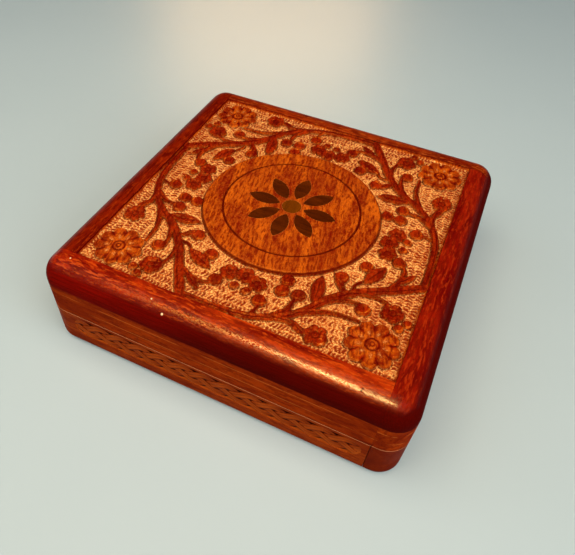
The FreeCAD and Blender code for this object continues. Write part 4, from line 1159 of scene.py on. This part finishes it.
def photo_camera():
    """The camera at the photograph's place, with the same framing."""
    lens = bpy.data.cameras.new("photo_camera")
    camera = bpy.data.objects.new("photo_camera", lens)
    bpy.context.scene.collection.objects.link(camera)
    turn, rise = math.radians(CAMERA_TURN), math.radians(CAMERA_RISE)
    back = Vector((math.sin(turn) * math.cos(rise), -math.cos(turn) * math.cos(rise), math.sin(rise)))
    camera.location = CAMERA_AIM + back * CAMERA_DISTANCE
    camera.rotation_mode = "QUATERNION"
    roll = Quaternion((0, 0, 1), math.radians(CAMERA_ROLL))
    camera.rotation_quaternion = (-back).to_track_quat("-Z", "Y") @ roll
    lens.sensor_width = SENSOR_WIDTH
    lens.lens = SENSOR_WIDTH * FOCAL_PIXELS / PHOTO_WIDTH
    lens.shift_x = (PHOTO_WIDTH / 2 - OPTICAL_CENTRE_ACROSS) / PHOTO_WIDTH
    lens.shift_y = (OPTICAL_CENTRE_DOWN - PHOTO_HEIGHT / 2) / PHOTO_WIDTH
    lens.clip_start = CAMERA_NEAR
    bpy.context.scene.camera = camera


def studio_floor():
    """A plain pale floor."""
    mesh = bpy.data.meshes.new("studio_floor")
    corners = [(x * FLOOR_HALF, y * FLOOR_HALF, 0) for x, y in ((-1, -1), (1, -1), (1, 1), (-1, 1))]
    mesh.from_pydata(corners, [], [(0, 1, 2, 3)])
    floor = bpy.data.objects.new("studio_floor", mesh)
    bpy.context.scene.collection.objects.link(floor)
    mesh.materials.append(pale_floor("pale_floor"))
    return floor


def studio_room():
    """The dim room: a little paler where the camera sees it, darker where the box mirrors it."""
    world = bpy.data.worlds.new("studio")
    world.use_nodes = True
    tree = world.node_tree
    room = tree.nodes["Background"].inputs
    room["Color"].default_value = (*ROOM_TINT, 1)
    paths = add(tree, "ShaderNodeLightPath").outputs
    seen = ranged(tree, paths["Is Camera Ray"], 0, 1, ROOM_STRENGTH, BACKDROP_STRENGTH)
    mirrored = ranged(tree, paths["Is Glossy Ray"], 0, 1, 1.0, MIRRORED_SHARE)
    tree.links.new(calc(tree, "MULTIPLY", seen, mirrored), room["Strength"])
    bpy.context.scene.world = world


def soft_light(name, place, width, length, power, colour, turn=0.0, aimed=False):
    """A rectangular softbox that looks straight down, or is aimed at the box."""
    lamp = bpy.data.lights.new(name, "AREA")
    lamp.shape = "RECTANGLE"
    lamp.size, lamp.size_y = width, length
    lamp.energy = power
    lamp.color = colour
    light = bpy.data.objects.new(name, lamp)
    bpy.context.scene.collection.objects.link(light)
    light.location = place
    way = -light.location if aimed else Vector((0, 0, -1))
    light.rotation_mode = "QUATERNION"
    spin = Quaternion((0, 0, 1), math.radians(turn))
    light.rotation_quaternion = way.to_track_quat("-Z", "Y") @ spin
    return light


def studio_lights(floor):
    """Soft light from above and both sides, and softboxes seen only as gloss on the box or floor."""
    fills = [
        soft_light("overhead_key", (-0.02, -0.20, 0.62), 0.6, 0.6, 4.5, WARM),
        soft_light("right_fill", (1.5, -0.75, 1.4), 2.2, 2.2, 60.0, COOL, aimed=True),
        soft_light("left_fill", (-1.5, -0.75, 1.4), 2.2, 2.2, 22.0, COOL, aimed=True),
    ]
    for light in fills:
        light.visible_glossy = False
    streaks = [
        soft_light("edge_streak", (0.005, -0.475, 1.0), 0.09, 0.44, 19.0, GOLD, turn=47.0),
        soft_light("left_sheen", (-0.34, -0.42, 1.0), 0.16, 0.44, 4.5, AMBER, turn=-36.0),
    ]
    box_alone = bpy.data.collections.new("box_alone")
    box_alone.objects.link(floor)
    box_alone.collection_objects[0].light_linking.link_state = "EXCLUDE"
    for light in streaks:
        light.visible_diffuse = False
        light.light_linking.receiver_collection = box_alone
    sheen = soft_light("floor_sheen", (-0.96, 2.19, 1.05), 1.0, 0.30, 11.0, PEACH, aimed=True)
    floor_alone = bpy.data.collections.new("floor_alone")
    floor_alone.objects.link(floor)
    sheen.visible_diffuse = False
    sheen.light_linking.receiver_collection = floor_alone


make_box()
photo_camera()
studio_lights(studio_floor())
studio_room()
bpy.context.scene.view_settings.view_transform = "Standard"
